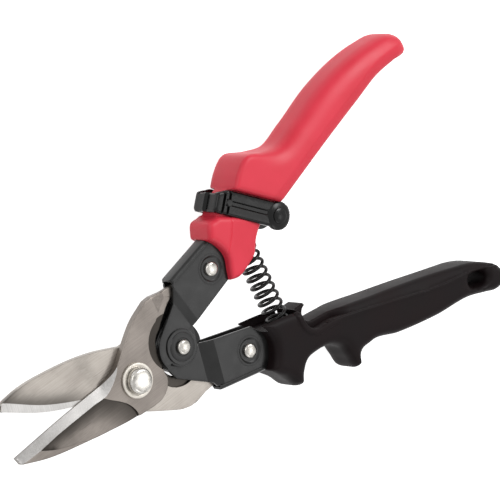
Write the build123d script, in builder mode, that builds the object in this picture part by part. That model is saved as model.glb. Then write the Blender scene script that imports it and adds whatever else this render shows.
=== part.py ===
from build123d import *
import os
from math import asin, atan2, cos, degrees, hypot, radians, sin

# Compound-leverage aviation snips, lying on their side, sprung open and unlatched.
# Origin: on the main pivot's axis, at the flat end of its bolt, which rests on the bench.
# +X runs along the linkage axis towards the grips, +Y towards the upper handle, +Z up.

# --- linkage: main pivot, centre rivet, and the two tang rivets, mirrored about X ---
mid_height = 10.2            # blade plane above the bench
center_x = 24.3              # centre rivet from the main pivot
tang_x = 51.4                # tang rivets along X
tang_y = 19.1                # tang rivets either side of X

# --- motion ---
closing_angle = 36.0         # how far the upper handle folds to close the jaws
latch_swing = 12.0           # how far the latch loop turns to lock

# --- blades ---
blade_thick = 3.0
blade_gap = 0.05             # each blade's inner face stands this far off the blade plane
tang_thick = 1.8             # ground-down tang inside the channel
ramp_start = 21.6
ramp_end = 27.6
tang_radius = 6.5
edge_land = 0.7              # blade thickness left at the cutting edge
bevel_width = 4.0

# --- sheet-steel frames ---
plate_thick = 1.2
plate_gap = 0.05             # running gap between stacked ears
ear_spacer = 0.6             # washer between the inner and the outer ear
channel_half = 3.7           # outside of the channel from the blade plane
ear_radius = 10.5
collar_radius = 7.9          # ear radius below its stop shoulder
frame_angle = 12.0           # slope of each channel from X
dimple_radius = 5.3
dimple_depth = 0.6
web_setback = 34.0           # where the channel's back wall starts
tail_length = 67.0           # tongue of the frame inside the grip
tail_width = 7.0

# --- fasteners ---
bolt_radius = 4.0
bolt_head_radius = 5.2
bolt_head_height = 2.9
flange_radius = 7.1
flange_thick = 1.1
back_washer_radius = 6.6
back_washer_thick = 1.1
nut_across_flats = 12.8
nut_height = 4.9
rivet_radius = 2.2
rivet_head_radius = 2.95
rivet_head_height = 1.6
disc_radius = 7.1
disc_thick = 1.0
spacer_radius = 6.4
run_fit = 0.05               # radial running clearance of pins in holes
open_pivot_clearance = 0.35  # upper blade's hole round the main bolt
seat_gap = 0.05              # flat faces that turn on each other

# --- grips ---
grip_half = 10.2             # grips reach the bench
collar_half = 7.7            # nose of the upper grip, ahead of the latch
neck_half = 5.2              # inside the latch loop, and the hook of the lower grip
upper_edge = 1.5             # edges eased by this much
lower_edge = 0.8
tail_fit = 0.05

# --- latch ---
bar_x = 88.3                 # latch bar, unlocked
bar_y = 21.3
latch_reach = 25.5           # from the latch pin to the bar
latch_slope = -42.7          # direction from the pin to the bar, unlocked
bar_radius = 3.3
eye_radius = 5.8
arm_width = 10.0
arm_inner = 5.5
arm_outer = 7.7
loop_end = 6.3               # outside of the loop's end wall beyond the pin
loop_wall = 2.3
latch_pin_radius = 1.5
latch_clear = 0.45
hook_clear = 0.3

# --- spring ---
spring_x = 71.5
spring_radius = 5.1
spring_wire = 1.1
spring_seat_y = 20.0
seat_thick = 1.2
seat_radius = 5.6
seat_stub_radius = 3.6
seat_stub_height = 2.2

# --- lanyard slot ---
slot_length = 10.0
slot_width = 5.6
slot_x = 163.0
slot_y = -54.6
slot_slope = -17.0


def at(height):
    """Horizontal plane this far above the blade plane."""
    return Plane.XY.offset(mid_height + height)


def turned(point, pivot, angle):
    """A point turned about a pivot, seen from above."""
    dx = point[0] - pivot[0]
    dy = point[1] - pivot[1]
    a = radians(angle)
    return (pivot[0] + dx * cos(a) - dy * sin(a), pivot[1] + dx * sin(a) + dy * cos(a))


def ray(start, angle, length):
    """The point at a distance and direction from a start."""
    return (start[0] + length * cos(radians(angle)), start[1] + length * sin(radians(angle)))


def flipped(points):
    """Points mirrored across X, for the half below it."""
    return [(x, -y) for x, y in points]


main_pivot = (0.0, 0.0)
center = (center_x, 0.0)
latch_pin_at = ray((bar_x, bar_y), latch_slope + 180, latch_reach)
bar_locked = turned((bar_x, bar_y), latch_pin_at, -latch_swing)
hook_at = turned(bar_locked, center, -closing_angle)

inner_ear = (plate_gap, plate_gap + plate_thick)
outer_ear = (inner_ear[1] + ear_spacer + plate_gap, inner_ear[1] + ear_spacer + plate_gap + plate_thick)
channel_in = channel_half - plate_thick
blade_front = blade_gap + blade_thick
tang_front = blade_gap + tang_thick


# --- blades: flat inner faces meet on the blade plane; tangs are ground thin for the channels ---
long_link = hypot(tang_x, tang_y)
short_link = hypot(tang_x - center_x, tang_y)
folded = atan2(tang_y, tang_x - center_x) - radians(closing_angle / 2)
closed_swing = asin(sin(folded) * short_link / long_link)
closed_distance = long_link * cos(closed_swing) - short_link * cos(folded)
# where the centre rivet lies, seen from the closed lower blade
closed_center = ray(main_pivot, degrees(atan2(tang_y, tang_x) - closed_swing), closed_distance)
ear_clear = ear_radius + 0.35    # the boss is scooped out this far round the frames' ears


def blade(side, jaw_lines):
    """One blade: side +1 is the near blade (jaw below), -1 the far blade (jaw above)."""
    with BuildPart() as blank:
        with BuildSketch(at(side * blade_gap)):
            with BuildLine():
                start, finish = jaw_lines()
                relief = ray(closed_center, 190, ear_clear)
                neck = ray(closed_center, 112, ear_clear)
                middle = ray(closed_center, 150, ear_clear)
                points = [relief, middle, neck, (20.5, 16.7), (27.6, 20.7), (31.0, 19.2), (45.5, 16.4)]
                points += [(45.5, 22.2), (34.0, 22.9), (27.6, 23.3), (21.8, 24.5), (18.5, 24.4)]
                if side < 0:
                    points = flipped(points)
                Spline(finish, points[0], tangents=((0, side), (0.15, side)))
                ThreePointArc(points[0], points[1], points[2])
                Polyline(*points[2:])
                Spline(points[-1], *start)
            make_face()
            with Locations((tang_x, side * tang_y)):
                Circle(tang_radius)
        extrude(amount=side * blade_thick)
        with BuildSketch(Plane.XZ.offset(0)):
            low = mid_height + side * tang_front
            high = mid_height + side * blade_front
            beyond = mid_height + side * (blade_front + 2)
            ramp = [(ramp_start, high), (ramp_end, low), (80, low), (80, beyond), (ramp_start, beyond)]
            Polygon(*ramp, align=None)
        extrude(amount=60, both=True, mode=Mode.SUBTRACT)
        with BuildSketch(at(-6)):
            with Locations((tang_x, side * tang_y)):
                Circle(rivet_radius + run_fit)
        extrude(amount=12, mode=Mode.SUBTRACT)
    return blank.part


def near_jaw():
    """Outline of the lower jaw, from the tang's upper edge round the tip to the boss."""
    upper = [(10.0, 20.8), (0.0, 13.6), (-6.5, 8.6), (-15.0, 6.8)]
    ThreePointArc((-15.0, 6.8), (-38.0, 5.9), (-62.0, 4.2))
    Line((-62.0, 4.2), (-61.2, 1.0))
    Spline((-61.2, 1.0), (-50.0, -3.4), (-30.0, -8.3), (-10.0, -12.3), (2.0, -13.4))
    ThreePointArc((2.0, -13.4), (9.6, -11.8), (13.0, -7.0))
    return upper, (13.0, -7.0)


def far_jaw():
    """Outline of the upper jaw, from the tang's lower edge round the tip to the boss."""
    lower = [(10.0, -20.8), (0.0, -14.8), (-8.5, -9.0), (-15.0, 0.8), (-24.0, 4.0)]
    Spline((-24.0, 4.0), (-40.0, 11.0), (-57.7, 21.8))
    Line((-57.7, 21.8), (-56.4, 24.3))
    Spline((-56.4, 24.3), (-46.0, 25.3), (-30.0, 23.7), (-10.0, 19.0), (2.0, 14.0))
    ThreePointArc((2.0, 14.0), (9.6, 11.6), (13.0, 7.0))
    return lower, (13.0, 7.0)


def edge_wedge(start, end, side):
    """What grinding takes off along a cutting edge; the blade lies left of start to end."""
    run = Vector(end[0] - start[0], end[1] - start[1])
    inward = Vector(-run.Y, run.X).normalized()
    plane = Plane(origin=(start[0], start[1], mid_height), x_dir=inward, z_dir=run)
    land = side * (blade_gap + edge_land)
    top = side * blade_front
    rise = (top - land) / bevel_width
    with BuildPart() as wedge:
        with BuildSketch(plane):
            over = [(-3, land - 3 * rise), (bevel_width, top), (bevel_width, 2 * top), (-3, 2 * top)]
            Polygon(*over, align=None)
        extrude(amount=run.length)
    return wedge.part



with BuildPart() as lower_blade:
    add(blade(1, near_jaw))
    add(edge_wedge((-14.0, 7.2), (-63.0, 4.5), 1), mode=Mode.SUBTRACT)
    with BuildSketch(at(-6)):
        Circle(bolt_radius + run_fit)
    extrude(amount=12, mode=Mode.SUBTRACT)
lower_blade.part.label = "lower_blade"

with BuildPart() as upper_blade:
    add(blade(-1, far_jaw))
    add(edge_wedge((-66.0, 25.6), (-18.0, -0.3), -1), mode=Mode.SUBTRACT)
    with BuildSketch(at(-6)):
        Circle(bolt_radius + open_pivot_clearance)
    extrude(amount=12, mode=Mode.SUBTRACT)
upper_blade.part.label = "upper_blade"


# --- frames: each handle is a pressed channel, with one outer and one inner ear at the centre ---
top_left = (31.5, 25.3)
top_right = (60.0, 31.6)
tail_start = (66.5, 30.0)
tail_slope = 15.5
tail_end = ray(tail_start, tail_slope, tail_length)
tail_low_end = ray(tail_end, tail_slope - 90, tail_width)
tail_low_start = ray(tail_start, tail_slope - 90, tail_width)
arm_upper = [top_right, tail_start, tail_end]
arm_lower = [tail_low_end, tail_low_start, (64.8, 22.6), (60.5, 16.5), (56.5, 11.0), (31.8, 3.7)]


def plate_profile(side, face, level):
    """One plate seen edge-on: at ear level by the centre rivet, joggled out to the channel."""
    bend_start, bend_end = (8.6, 13.4) if level == outer_ear else (8.8, 15.0)
    slope = radians(frame_angle)
    across = Plane(
        origin=(center_x, 0, mid_height),
        x_dir=(cos(slope), side * sin(slope), 0),
        z_dir=(side * sin(slope), -cos(slope), 0),
    )
    up = face if across.y_dir.Z > 0 else -face
    with BuildPart() as plate:
        with BuildSketch(across):
            near = [(-20, level[0]), (bend_start, level[0]), (bend_end, channel_in), (130, channel_in)]
            far = [(130, channel_half), (bend_end, channel_half), (bend_start, level[1]), (-20, level[1])]
            Polygon(*[(u, up * z) for u, z in near + far], align=None)
        extrude(amount=80, both=True)
    return plate.part


def plate_outline(side, level):
    """Outline of one plate from above, on the upper handle's side when side is +1."""
    if level == outer_ear:
        left = [(17.7, 8.1), (29.2, 16.4), (32.2, 22.2), top_left]
    else:
        left = [(15.6, 5.8), (17.3, 10.6), (31.2, 21.4), top_left]
    with BuildSketch(at(-6)) as outline:
        with Locations(center):
            Circle(ear_radius)
        if level == outer_ear:
            sweep = [center] + [ray(center, angle, 16) for angle in (205, 250, 295, 340, 385)]
            Polygon(*(sweep if side > 0 else flipped(sweep)), align=None, mode=Mode.SUBTRACT)
            with Locations(center):
                Circle(collar_radius)
        arm = [center] + left + arm_upper + arm_lower
        Polygon(*(arm if side > 0 else flipped(arm)), align=None)
    return outline.sketch


def channel_frame(side):
    """A handle's pressed frame: outer ear on its own face, inner ear on the other."""
    tang = (tang_x, side * tang_y)
    parts = []
    for face, level in ((side, outer_ear), (-side, inner_ear)):
        with BuildPart() as plate:
            add(plate_outline(side, level))
            extrude(amount=12)
            add(plate_profile(side, face, level), mode=Mode.INTERSECT)
            with BuildSketch(at(face * (channel_half - dimple_depth))):
                with Locations(tang):
                    Circle(dimple_radius)
            extrude(amount=face * 2, mode=Mode.SUBTRACT)
            with BuildSketch(at(face * (channel_in - dimple_depth))):
                with Locations(tang):
                    Circle(dimple_radius)
            extrude(amount=face * (dimple_depth + 0.2))
        parts.append(plate.part)
    web_start = (web_setback, top_left[1] + (web_setback - top_left[0]) * 0.221)
    spine = [web_start] + arm_upper
    wall = spine + [ray(point, -76, plate_thick) for point in reversed(spine)]
    with BuildPart() as frame:
        add(parts[0])
        add(parts[1])
        with BuildSketch(at(-channel_half + 0.4)):
            Polygon(*(wall if side > 0 else flipped(wall)), align=None)
        extrude(amount=2 * channel_half - 0.8)
        with BuildSketch(at(-8)):
            with Locations(center, tang):
                Circle(rivet_radius + run_fit)
        extrude(amount=16, mode=Mode.SUBTRACT)
    return frame.part


with BuildPart() as upper_frame:
    add(channel_frame(1))
upper_frame.part.label = "upper_frame"

with BuildPart() as lower_frame:
    add(channel_frame(-1))
    # half-sheared stop lug that the upper frame's ear shoulder rests against when open
    with BuildSketch(at(inner_ear[1] - 0.2)):
        with Locations(ray(center, 215, 9.2)):
            Rectangle(1.7, 1.6, rotation=35)
    extrude(amount=1.4)
lower_frame.part.label = "lower_frame"


# --- rivets, discs and bushes ---
def pin_through(x, y, radius, low, high):
    """A plain round pin between two heights above the blade plane."""
    with BuildPart() as pin:
        with BuildSketch(at(low)):
            with Locations((x, y)):
                Circle(radius)
        extrude(amount=high - low)
    return pin.part


def domed_rivet(x, y, seat):
    """A rivet with a low domed head on each face, seated this far from the blade plane."""
    with BuildPart() as rivet:
        add(pin_through(x, y, rivet_radius, -seat - 0.1, seat + 0.1))
        for face in (1, -1):
            with BuildSketch(at(face * seat)):
                with Locations((x, y)):
                    Circle(rivet_head_radius)
            extrude(amount=face * rivet_head_height)
            crown = rivet.edges().filter_by(GeomType.CIRCLE).sort_by(Axis.Z)[-1 if face > 0 else 0]
            fillet(crown, radius=0.9)
    return rivet.part


def flat_ring(x, y, outer, inner, low, high):
    """A washer, disc or bush between two heights above the blade plane."""
    with BuildPart() as ring:
        with BuildSketch(at(low)):
            with Locations((x, y)):
                Circle(outer)
                Circle(inner, mode=Mode.SUBTRACT)
        extrude(amount=high - low)
    return ring.part


disc_seat = outer_ear[1] + seat_gap
tang_seat = channel_half - dimple_depth
bush_height = channel_in - dimple_depth
rivet_hole = rivet_radius + run_fit

with BuildPart() as center_rivet:
    add(domed_rivet(center_x, 0, disc_seat + disc_thick))
center_rivet.part.label = "center_rivet"

with BuildPart() as center_front_disc:
    add(flat_ring(center_x, 0, disc_radius, rivet_hole, disc_seat, disc_seat + disc_thick))
    chamfer(center_front_disc.faces().sort_by(Axis.Z)[-1].edges().sort_by(SortBy.RADIUS)[-1], length=0.3)
center_front_disc.part.label = "center_front_disc"

with BuildPart() as center_back_disc:
    add(flat_ring(center_x, 0, disc_radius, rivet_hole, -disc_seat - disc_thick, -disc_seat))
    chamfer(center_back_disc.faces().sort_by(Axis.Z)[0].edges().sort_by(SortBy.RADIUS)[-1], length=0.3)
center_back_disc.part.label = "center_back_disc"

with BuildPart() as center_front_spacer:
    add(flat_ring(center_x, 0, spacer_radius, rivet_hole, inner_ear[1], inner_ear[1] + ear_spacer))
center_front_spacer.part.label = "center_front_spacer"

with BuildPart() as center_back_spacer:
    add(flat_ring(center_x, 0, spacer_radius, rivet_hole, -outer_ear[0], -outer_ear[0] + ear_spacer))
center_back_spacer.part.label = "center_back_spacer"

with BuildPart() as upper_tang_rivet:
    add(domed_rivet(tang_x, tang_y, tang_seat))
upper_tang_rivet.part.label = "upper_tang_rivet"

with BuildPart() as lower_tang_rivet:
    add(domed_rivet(tang_x, -tang_y, tang_seat))
lower_tang_rivet.part.label = "lower_tang_rivet"

with BuildPart() as upper_tang_bush:
    add(flat_ring(tang_x, tang_y, dimple_radius - 0.6, rivet_hole, -bush_height, 0))
upper_tang_bush.part.label = "upper_tang_bush"

with BuildPart() as lower_tang_bush:
    add(flat_ring(tang_x, -tang_y, dimple_radius - 0.6, rivet_hole, 0, bush_height))
lower_tang_bush.part.label = "lower_tang_bush"

# --- main pivot: bolt with a round head, flange washer, back washer and lock nut ---
flange_seat = blade_front
head_seat = flange_seat + flange_thick
back_seat = -blade_front - seat_gap
nut_seat = back_seat - back_washer_thick
bolt_hole = bolt_radius + run_fit

with BuildPart() as pivot_bolt:
    add(pin_through(0, 0, bolt_radius, -mid_height, head_seat + 0.2))
    with BuildSketch(at(head_seat)):
        Circle(bolt_head_radius)
    extrude(amount=bolt_head_height)
    fillet(pivot_bolt.faces().sort_by(Axis.Z)[-1].edges(), radius=0.9)
    chamfer(pivot_bolt.faces().sort_by(Axis.Z)[0].edges(), length=0.4)
pivot_bolt.part.label = "pivot_bolt"

with BuildPart() as pivot_flange_washer:
    add(flat_ring(0, 0, flange_radius, bolt_hole, flange_seat, flange_seat + flange_thick))
    rim = pivot_flange_washer.faces().sort_by(Axis.Z)[-1].edges().sort_by(SortBy.RADIUS)[-1]
    chamfer(rim, length=0.5)
pivot_flange_washer.part.label = "pivot_flange_washer"

with BuildPart() as pivot_back_washer:
    add(flat_ring(0, 0, back_washer_radius, bolt_hole, nut_seat, back_seat))
pivot_back_washer.part.label = "pivot_back_washer"

with BuildPart() as pivot_nut:
    with BuildSketch(at(nut_seat)):
        RegularPolygon(nut_across_flats / 2, 6, major_radius=False)
        Circle(bolt_hole, mode=Mode.SUBTRACT)
    extrude(amount=-nut_height)
pivot_nut.part.label = "pivot_nut"


# --- grips ---
arm_across = latch_slope + 90
swung_slope = latch_slope - latch_swing
groove_right = [
    ray(latch_pin_at, arm_across, arm_width / 2 + latch_clear),
    ray((bar_x, bar_y), arm_across, eye_radius + latch_clear),
]
groove_left = [
    ray(latch_pin_at, swung_slope - 90, arm_width / 2 + latch_clear),
    ray(bar_locked, swung_slope - 90, eye_radius + latch_clear),
]

with BuildSketch(at(0)) as upper_profile:
    with BuildLine():
        Spline((54.3, 30.6), (59.4, 19.6), (56.4, 11.0))
        Spline((56.4, 11.0), (60.6, 9.8), (66.0, 10.9), (72.0, 13.4), (75.6, 18.2))
        Spline((75.6, 18.2), (78.5, 20.8), (81.5, 22.4), (86.3, 25.3), (93.0, 25.8))
        Spline((93.0, 25.8), (126.0, 35.9), (146.0, 41.6), (160.0, 45.4), (168.0, 46.0), (176.2, 45.8))
        ThreePointArc((176.2, 45.8), (177.4, 46.8), (177.3, 48.6))
        Spline((177.3, 48.6), (171.0, 55.8), (153.0, 58.2), (134.0, 55.2), (114.0, 48.4), (101.5, 45.0))
        Spline((101.5, 45.0), (94.0, 47.6), (84.0, 51.0), (78.0, 47.6), (73.2, 42.6))
        ThreePointArc((73.2, 42.6), ray(latch_pin_at, 100, 3.7), ray(latch_pin_at, 150, 3.7))
        Spline(ray(latch_pin_at, 150, 3.7), (62.5, 36.4), (57.6, 36.3), (54.3, 30.6))
    make_face()

far_right = [ray(groove_right[1], latch_slope, 160), ray(groove_right[0], arm_across, 160)]
body_region = [ray(groove_right[0], latch_slope + 180, 20), ray(groove_right[1], latch_slope, 20)] + far_right
nose_region = [ray(groove_left[0], swung_slope + 180, 20), ray(groove_left[1], swung_slope, 20)]
nose_region += [ray(nose_region[1], swung_slope - 90, 60), ray(nose_region[0], swung_slope - 90, 60)]


def grip_slab(profile, region, half, edge):
    """The stretch of a grip's profile inside a region, this thick either side, rounded."""
    with BuildPart() as slab:
        with BuildSketch(at(-half)):
            add(profile)
            Polygon(*region, align=None, mode=Mode.INTERSECT)
        extrude(amount=2 * half)
        faces = slab.faces().filter_by(Plane.XY).sort_by(Axis.Z)
        chamfer(faces[0].edges() + faces[-1].edges(), length=edge)
    return slab.part


def tail_pocket(side):
    """Room for a frame's arm and tongue inside its grip."""
    points = [(50.0, 31.0)] + [ray(point, tail_slope + 90, 2 * tail_fit) for point in arm_upper]
    points += [ray(point, tail_slope - 90, 2 * tail_fit) for point in (tail_low_end, tail_low_start)]
    points += [(65.0, 22.3), (60.8, 16.4), (56.5, 10.6), (50.0, 9.2)]
    with BuildPart() as pocket:
        with BuildSketch(at(-channel_half - tail_fit)):
            Polygon(*(points if side > 0 else flipped(points)), align=None)
        extrude(amount=2 * (channel_half + tail_fit))
    return pocket.part


def spring_pocket(side, depth):
    """The round well that takes one end of the spring and its seat."""
    with BuildPart() as well:
        with BuildSketch(Plane.XZ.offset(-side * depth)):
            with Locations((spring_x, mid_height)):
                Circle(seat_radius + 0.05)
        extrude(amount=side * 30)
    return well.part


seat_back = spring_seat_y + seat_thick

with BuildPart() as upper_grip:
    with BuildSketch(at(-neck_half)):
        add(upper_profile.sketch)
    extrude(amount=2 * neck_half)
    add(grip_slab(upper_profile.sketch, body_region, grip_half, upper_edge))
    add(grip_slab(upper_profile.sketch, nose_region, collar_half, upper_edge))
    add(tail_pocket(1), mode=Mode.SUBTRACT)
    add(spring_pocket(1, seat_back), mode=Mode.SUBTRACT)
    with BuildSketch(at(-12)):
        with Locations(latch_pin_at):
            Circle(latch_pin_radius)
    extrude(amount=24, mode=Mode.SUBTRACT)
upper_grip.part.label = "upper_grip"


def hook_point(angle):
    """A point on the mouth of the lower grip's hook, round the locked latch bar."""
    return ray(hook_at, angle, bar_radius + hook_clear)


with BuildSketch(at(0)) as lower_profile:
    with BuildLine():
        Spline((57.3, -11.0), (60.5, -19.2), (54.5, -30.2))
        Spline((54.5, -30.2), (60.4, -37.6), (66.0, -43.0), (73.5, -36.4), (81.0, -37.1), (88.6, -40.4))
        Spline((88.6, -40.4), (90.6, -47.0), (94.0, -53.0), (98.4, -48.3), (103.5, -47.7))
        Spline((103.5, -47.7), (117.0, -52.0), (137.0, -56.6), (157.0, -59.3), (170.0, -64.2))
        Spline((170.0, -64.2), (175.6, -63.2), (177.2, -60.0), (171.0, -51.5), (154.0, -43.8))
        Spline((154.0, -43.8), (134.0, -37.5), (114.0, -31.8), (98.0, -27.2), (91.0, -25.6))
        Line((91.0, -25.6), hook_point(270))
        ThreePointArc(hook_point(270), hook_point(180), hook_point(97))
        Line(hook_point(97), (82.4, -16.1))
        Spline((82.4, -16.1), (79.6, -16.0), (76.8, -15.9), (72.5, -14.6), (66.0, -12.9), (57.3, -11.0))
    make_face()

notch_left = hook_at[0] - eye_radius - 0.6
notch_floor = hook_at[1] - eye_radius - 0.6
notch_right = 99.0
grip_region = [(40, 0), (notch_left, 0), (notch_left, notch_floor), (91, notch_floor), (notch_right, -22)]
grip_region += [(notch_right, 0), (190, 0), (190, -80), (40, -80)]

with BuildPart() as lower_grip:
    with BuildSketch(at(-neck_half)):
        add(lower_profile.sketch)
    extrude(amount=2 * neck_half)
    # full thickness but for the notch either side of the hook, where the latch's eyes drop in
    add(grip_slab(lower_profile.sketch, grip_region, grip_half, lower_edge))
    # open trough that the upper grip's nose folds into
    with BuildSketch(at(-collar_half - 0.4)):
        floor = [(50, -13.6), (58, -14.8), (70, -18.3), (notch_left, -18.6), (notch_left, 0), (50, 0)]
        Polygon(*floor, align=None)
    extrude(amount=2 * collar_half + 0.8, mode=Mode.SUBTRACT)
    add(tail_pocket(-1), mode=Mode.SUBTRACT)
    add(spring_pocket(-1, seat_back), mode=Mode.SUBTRACT)
    with BuildSketch(at(-12)):
        with Locations((slot_x, slot_y)):
            SlotOverall(slot_length, slot_width, rotation=slot_slope)
    extrude(amount=24, mode=Mode.SUBTRACT)
lower_grip.part.label = "lower_grip"

# --- latch: a bent strip round the neck of the upper grip, with a cross bar in its eyes ---
latch_plane = Plane(
    origin=(latch_pin_at[0], latch_pin_at[1], mid_height),
    x_dir=(cos(radians(latch_slope)), sin(radians(latch_slope)), 0),
    z_dir=(sin(radians(latch_slope)), -cos(radians(latch_slope)), 0),
)
strip_length = 60.0          # longer than the loop: the plan outline trims it
loop_back = ray(latch_pin_at, latch_slope + 180, loop_end)

with BuildPart() as latch:
    with BuildSketch(latch_plane):
        with Locations((strip_length / 2 - loop_end, 0)):
            RectangleRounded(strip_length, 2 * arm_outer, 2.4)
        with Locations((strip_length / 2 - loop_end + loop_wall, 0)):
            Rectangle(strip_length, 2 * arm_inner, mode=Mode.SUBTRACT)
    extrude(amount=eye_radius + 1, both=True)
    with BuildSketch(at(-arm_outer)):
        arm = [ray(start, latch_slope + turn, arm_width / 2) for start, turn in (
            (loop_back, 90), ((bar_x, bar_y), 90), ((bar_x, bar_y), -90), (loop_back, -90))]
        Polygon(*arm, align=None)
        with Locations((bar_x, bar_y)):
            Circle(eye_radius)
    extrude(amount=2 * arm_outer, mode=Mode.INTERSECT)
    with BuildSketch(at(-12)):
        with Locations(latch_pin_at):
            Circle(latch_pin_radius + run_fit)
        with Locations((bar_x, bar_y)):
            Circle(bar_radius)
    extrude(amount=24, mode=Mode.SUBTRACT)
latch.part.label = "latch"

with BuildPart() as latch_bar:
    add(pin_through(bar_x, bar_y, bar_radius, -arm_outer - 0.5, arm_outer + 0.5))
    chamfer(latch_bar.edges().filter_by(GeomType.CIRCLE), length=0.4)
latch_bar.part.label = "latch_bar"

with BuildPart() as latch_pin:
    add(pin_through(*latch_pin_at, latch_pin_radius, -arm_outer - 0.4, arm_outer + 0.4))
    chamfer(latch_pin.edges().filter_by(GeomType.CIRCLE), length=0.3)
latch_pin.part.label = "latch_pin"


# --- spring and its seats: drawn as the plain sleeve that the coils turn in ---
def spring_seat(side):
    """A disc in the bottom of a grip's well, with a stub that centres the spring."""
    with BuildPart() as seat:
        for radius, low, high in (
            (seat_radius, spring_seat_y, seat_back),
            (seat_stub_radius, spring_seat_y - seat_stub_height, spring_seat_y),
        ):
            with BuildSketch(Plane.XZ.offset(-side * low)):
                with Locations((spring_x, mid_height)):
                    Circle(radius)
            extrude(amount=-side * (high - low))
    return seat.part


with BuildPart() as upper_spring_seat:
    add(spring_seat(1))
upper_spring_seat.part.label = "upper_spring_seat"

with BuildPart() as lower_spring_seat:
    add(spring_seat(-1))
lower_spring_seat.part.label = "lower_spring_seat"

with BuildPart() as spring:
    with BuildSketch(Plane.XZ):
        with Locations((spring_x, mid_height)):
            Circle(spring_radius)
            Circle(spring_radius - spring_wire, mode=Mode.SUBTRACT)
    extrude(amount=spring_seat_y, both=True)
spring.part.label = "spring"

os.makedirs("parts", exist_ok=True)
finished = (
    lower_blade, upper_blade, pivot_bolt, pivot_flange_washer, pivot_back_washer, pivot_nut,
    upper_frame, lower_frame, center_rivet, center_front_disc, center_back_disc,
    center_front_spacer, center_back_spacer, upper_tang_rivet, lower_tang_rivet,
    upper_tang_bush, lower_tang_bush, upper_grip, lower_grip, latch, latch_bar, latch_pin,
    upper_spring_seat, lower_spring_seat, spring,
)
for piece in finished:
    export_step(piece.part, f"parts/{piece.part.label}.step")
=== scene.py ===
# %% [markdown]
# # Aviation snips, sprung open
# These are compound-leverage snips: two steel blades on a bolt, driven by two pressed steel
# frames, with a moulded grip on each. This script dresses a finished mechanical model, so
# every length below is in the same frame as that model. Blender works in metres, and a tool
# like this is drawn in millimetres, so points are written in millimetres and scaled once.

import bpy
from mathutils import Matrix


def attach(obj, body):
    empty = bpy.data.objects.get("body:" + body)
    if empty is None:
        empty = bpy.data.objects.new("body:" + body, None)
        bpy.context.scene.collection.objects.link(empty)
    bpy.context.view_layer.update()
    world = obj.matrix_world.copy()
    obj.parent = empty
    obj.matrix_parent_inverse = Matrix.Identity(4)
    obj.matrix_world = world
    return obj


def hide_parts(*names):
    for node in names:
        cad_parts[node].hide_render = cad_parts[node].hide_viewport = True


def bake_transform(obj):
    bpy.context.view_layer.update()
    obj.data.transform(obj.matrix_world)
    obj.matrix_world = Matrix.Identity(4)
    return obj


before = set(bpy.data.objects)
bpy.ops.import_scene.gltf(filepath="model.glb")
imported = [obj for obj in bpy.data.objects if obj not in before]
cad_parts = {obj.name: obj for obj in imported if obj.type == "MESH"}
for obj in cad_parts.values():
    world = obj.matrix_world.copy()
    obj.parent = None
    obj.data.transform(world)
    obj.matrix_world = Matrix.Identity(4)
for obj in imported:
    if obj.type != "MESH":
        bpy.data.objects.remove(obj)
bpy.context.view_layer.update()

# %% Small tools
from math import atan2, cos, degrees, hypot, pi, radians, sin, sqrt

import bmesh
import bpy
import numpy as np
from mathutils import Matrix, Vector
from mathutils.geometry import delaunay_2d_cdt

MM = 0.001
MID = 10.2            # height of the plane that the two blades meet on
CENTER = (24.3, 0.0)  # the rivet that joins the two handles
TANG = (51.4, 19.1)   # the rivet that drives each blade; the lower one is mirrored


def ray(start, angle, length):
    """The point at a direction in degrees and a distance from a start."""
    return (start[0] + length * cos(radians(angle)), start[1] + length * sin(radians(angle)))


print("blade plane at", MID, "mm")

# %% [markdown]
# ## Camera
# A long lens a little over a metre away looks down on the tool from the blades' side. A long
# lens keeps the far end of the grips from shrinking. The camera is placed by what it aims at,
# its compass direction, its height angle, its distance and its roll.

# %% Camera
AIM = Vector((73.54, 14.05, 10.2)) * MM
TOWARD_AZIMUTH = 145.22     # direction from the tool to the camera, from +X towards +Y
TOWARD_HEIGHT = 53.30
CAMERA_ROLL = 94.00
CAMERA_DISTANCE = 1312.8

back = Vector((cos(radians(TOWARD_HEIGHT)) * cos(radians(TOWARD_AZIMUTH)),
               cos(radians(TOWARD_HEIGHT)) * sin(radians(TOWARD_AZIMUTH)),
               sin(radians(TOWARD_HEIGHT))))
level_right = Vector((0, 0, 1)).cross(back).normalized()
turn = Matrix.Rotation(radians(CAMERA_ROLL), 3, back)
right = turn @ level_right
up = back.cross(right)
camera = bpy.data.objects.new("camera", bpy.data.cameras.new("camera"))
bpy.context.scene.collection.objects.link(camera)
camera.data.lens = 237.6
camera.data.sensor_width = 36
camera.data.clip_start = 0.05
camera.data.clip_end = 20
axes = Matrix((right, up, back)).transposed().to_4x4()
camera.matrix_world = Matrix.Translation(AIM + back * CAMERA_DISTANCE * MM) @ axes
bpy.context.scene.camera = camera
print("camera stands at", [round(v, 3) for v in camera.matrix_world.translation], "m")

# %% [markdown]
# ## Materials
# Each finish is a small network of nodes, and a few helpers cover all of them. One turns an
# sRGB hex colour into the linear numbers that the renderer wants, one adds a node with its
# settings and links, and one starts a material with its shader's plain values. The others make
# a noise pattern and use it for colour, for gloss and for bumps. Patterns are laid out in
# object coordinates, where one unit is a metre, so a pattern 0.4 mm wide has a scale of 2500.

# %% Material helpers
def linear(code):
    """An sRGB hex colour as linear red, green and blue, with a full alpha."""
    parts = [int(code[i:i + 2], 16) / 255 for i in (0, 2, 4)]
    return [v / 12.92 if v <= 0.04045 else ((v + 0.055) / 1.055) ** 2.4 for v in parts] + [1.0]


def add_node(tree, kind, links=(), values=(), **settings):
    """Adds a node, sets its properties and sockets, and links sockets of other nodes into it."""
    made = tree.nodes.new(kind)
    for key, value in settings.items():
        setattr(made, key, value)
    for socket, value in dict(values).items():
        made.inputs[socket].default_value = value
    for socket, source in dict(links).items():
        tree.links.new(source, made.inputs[socket])
    return made


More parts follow.
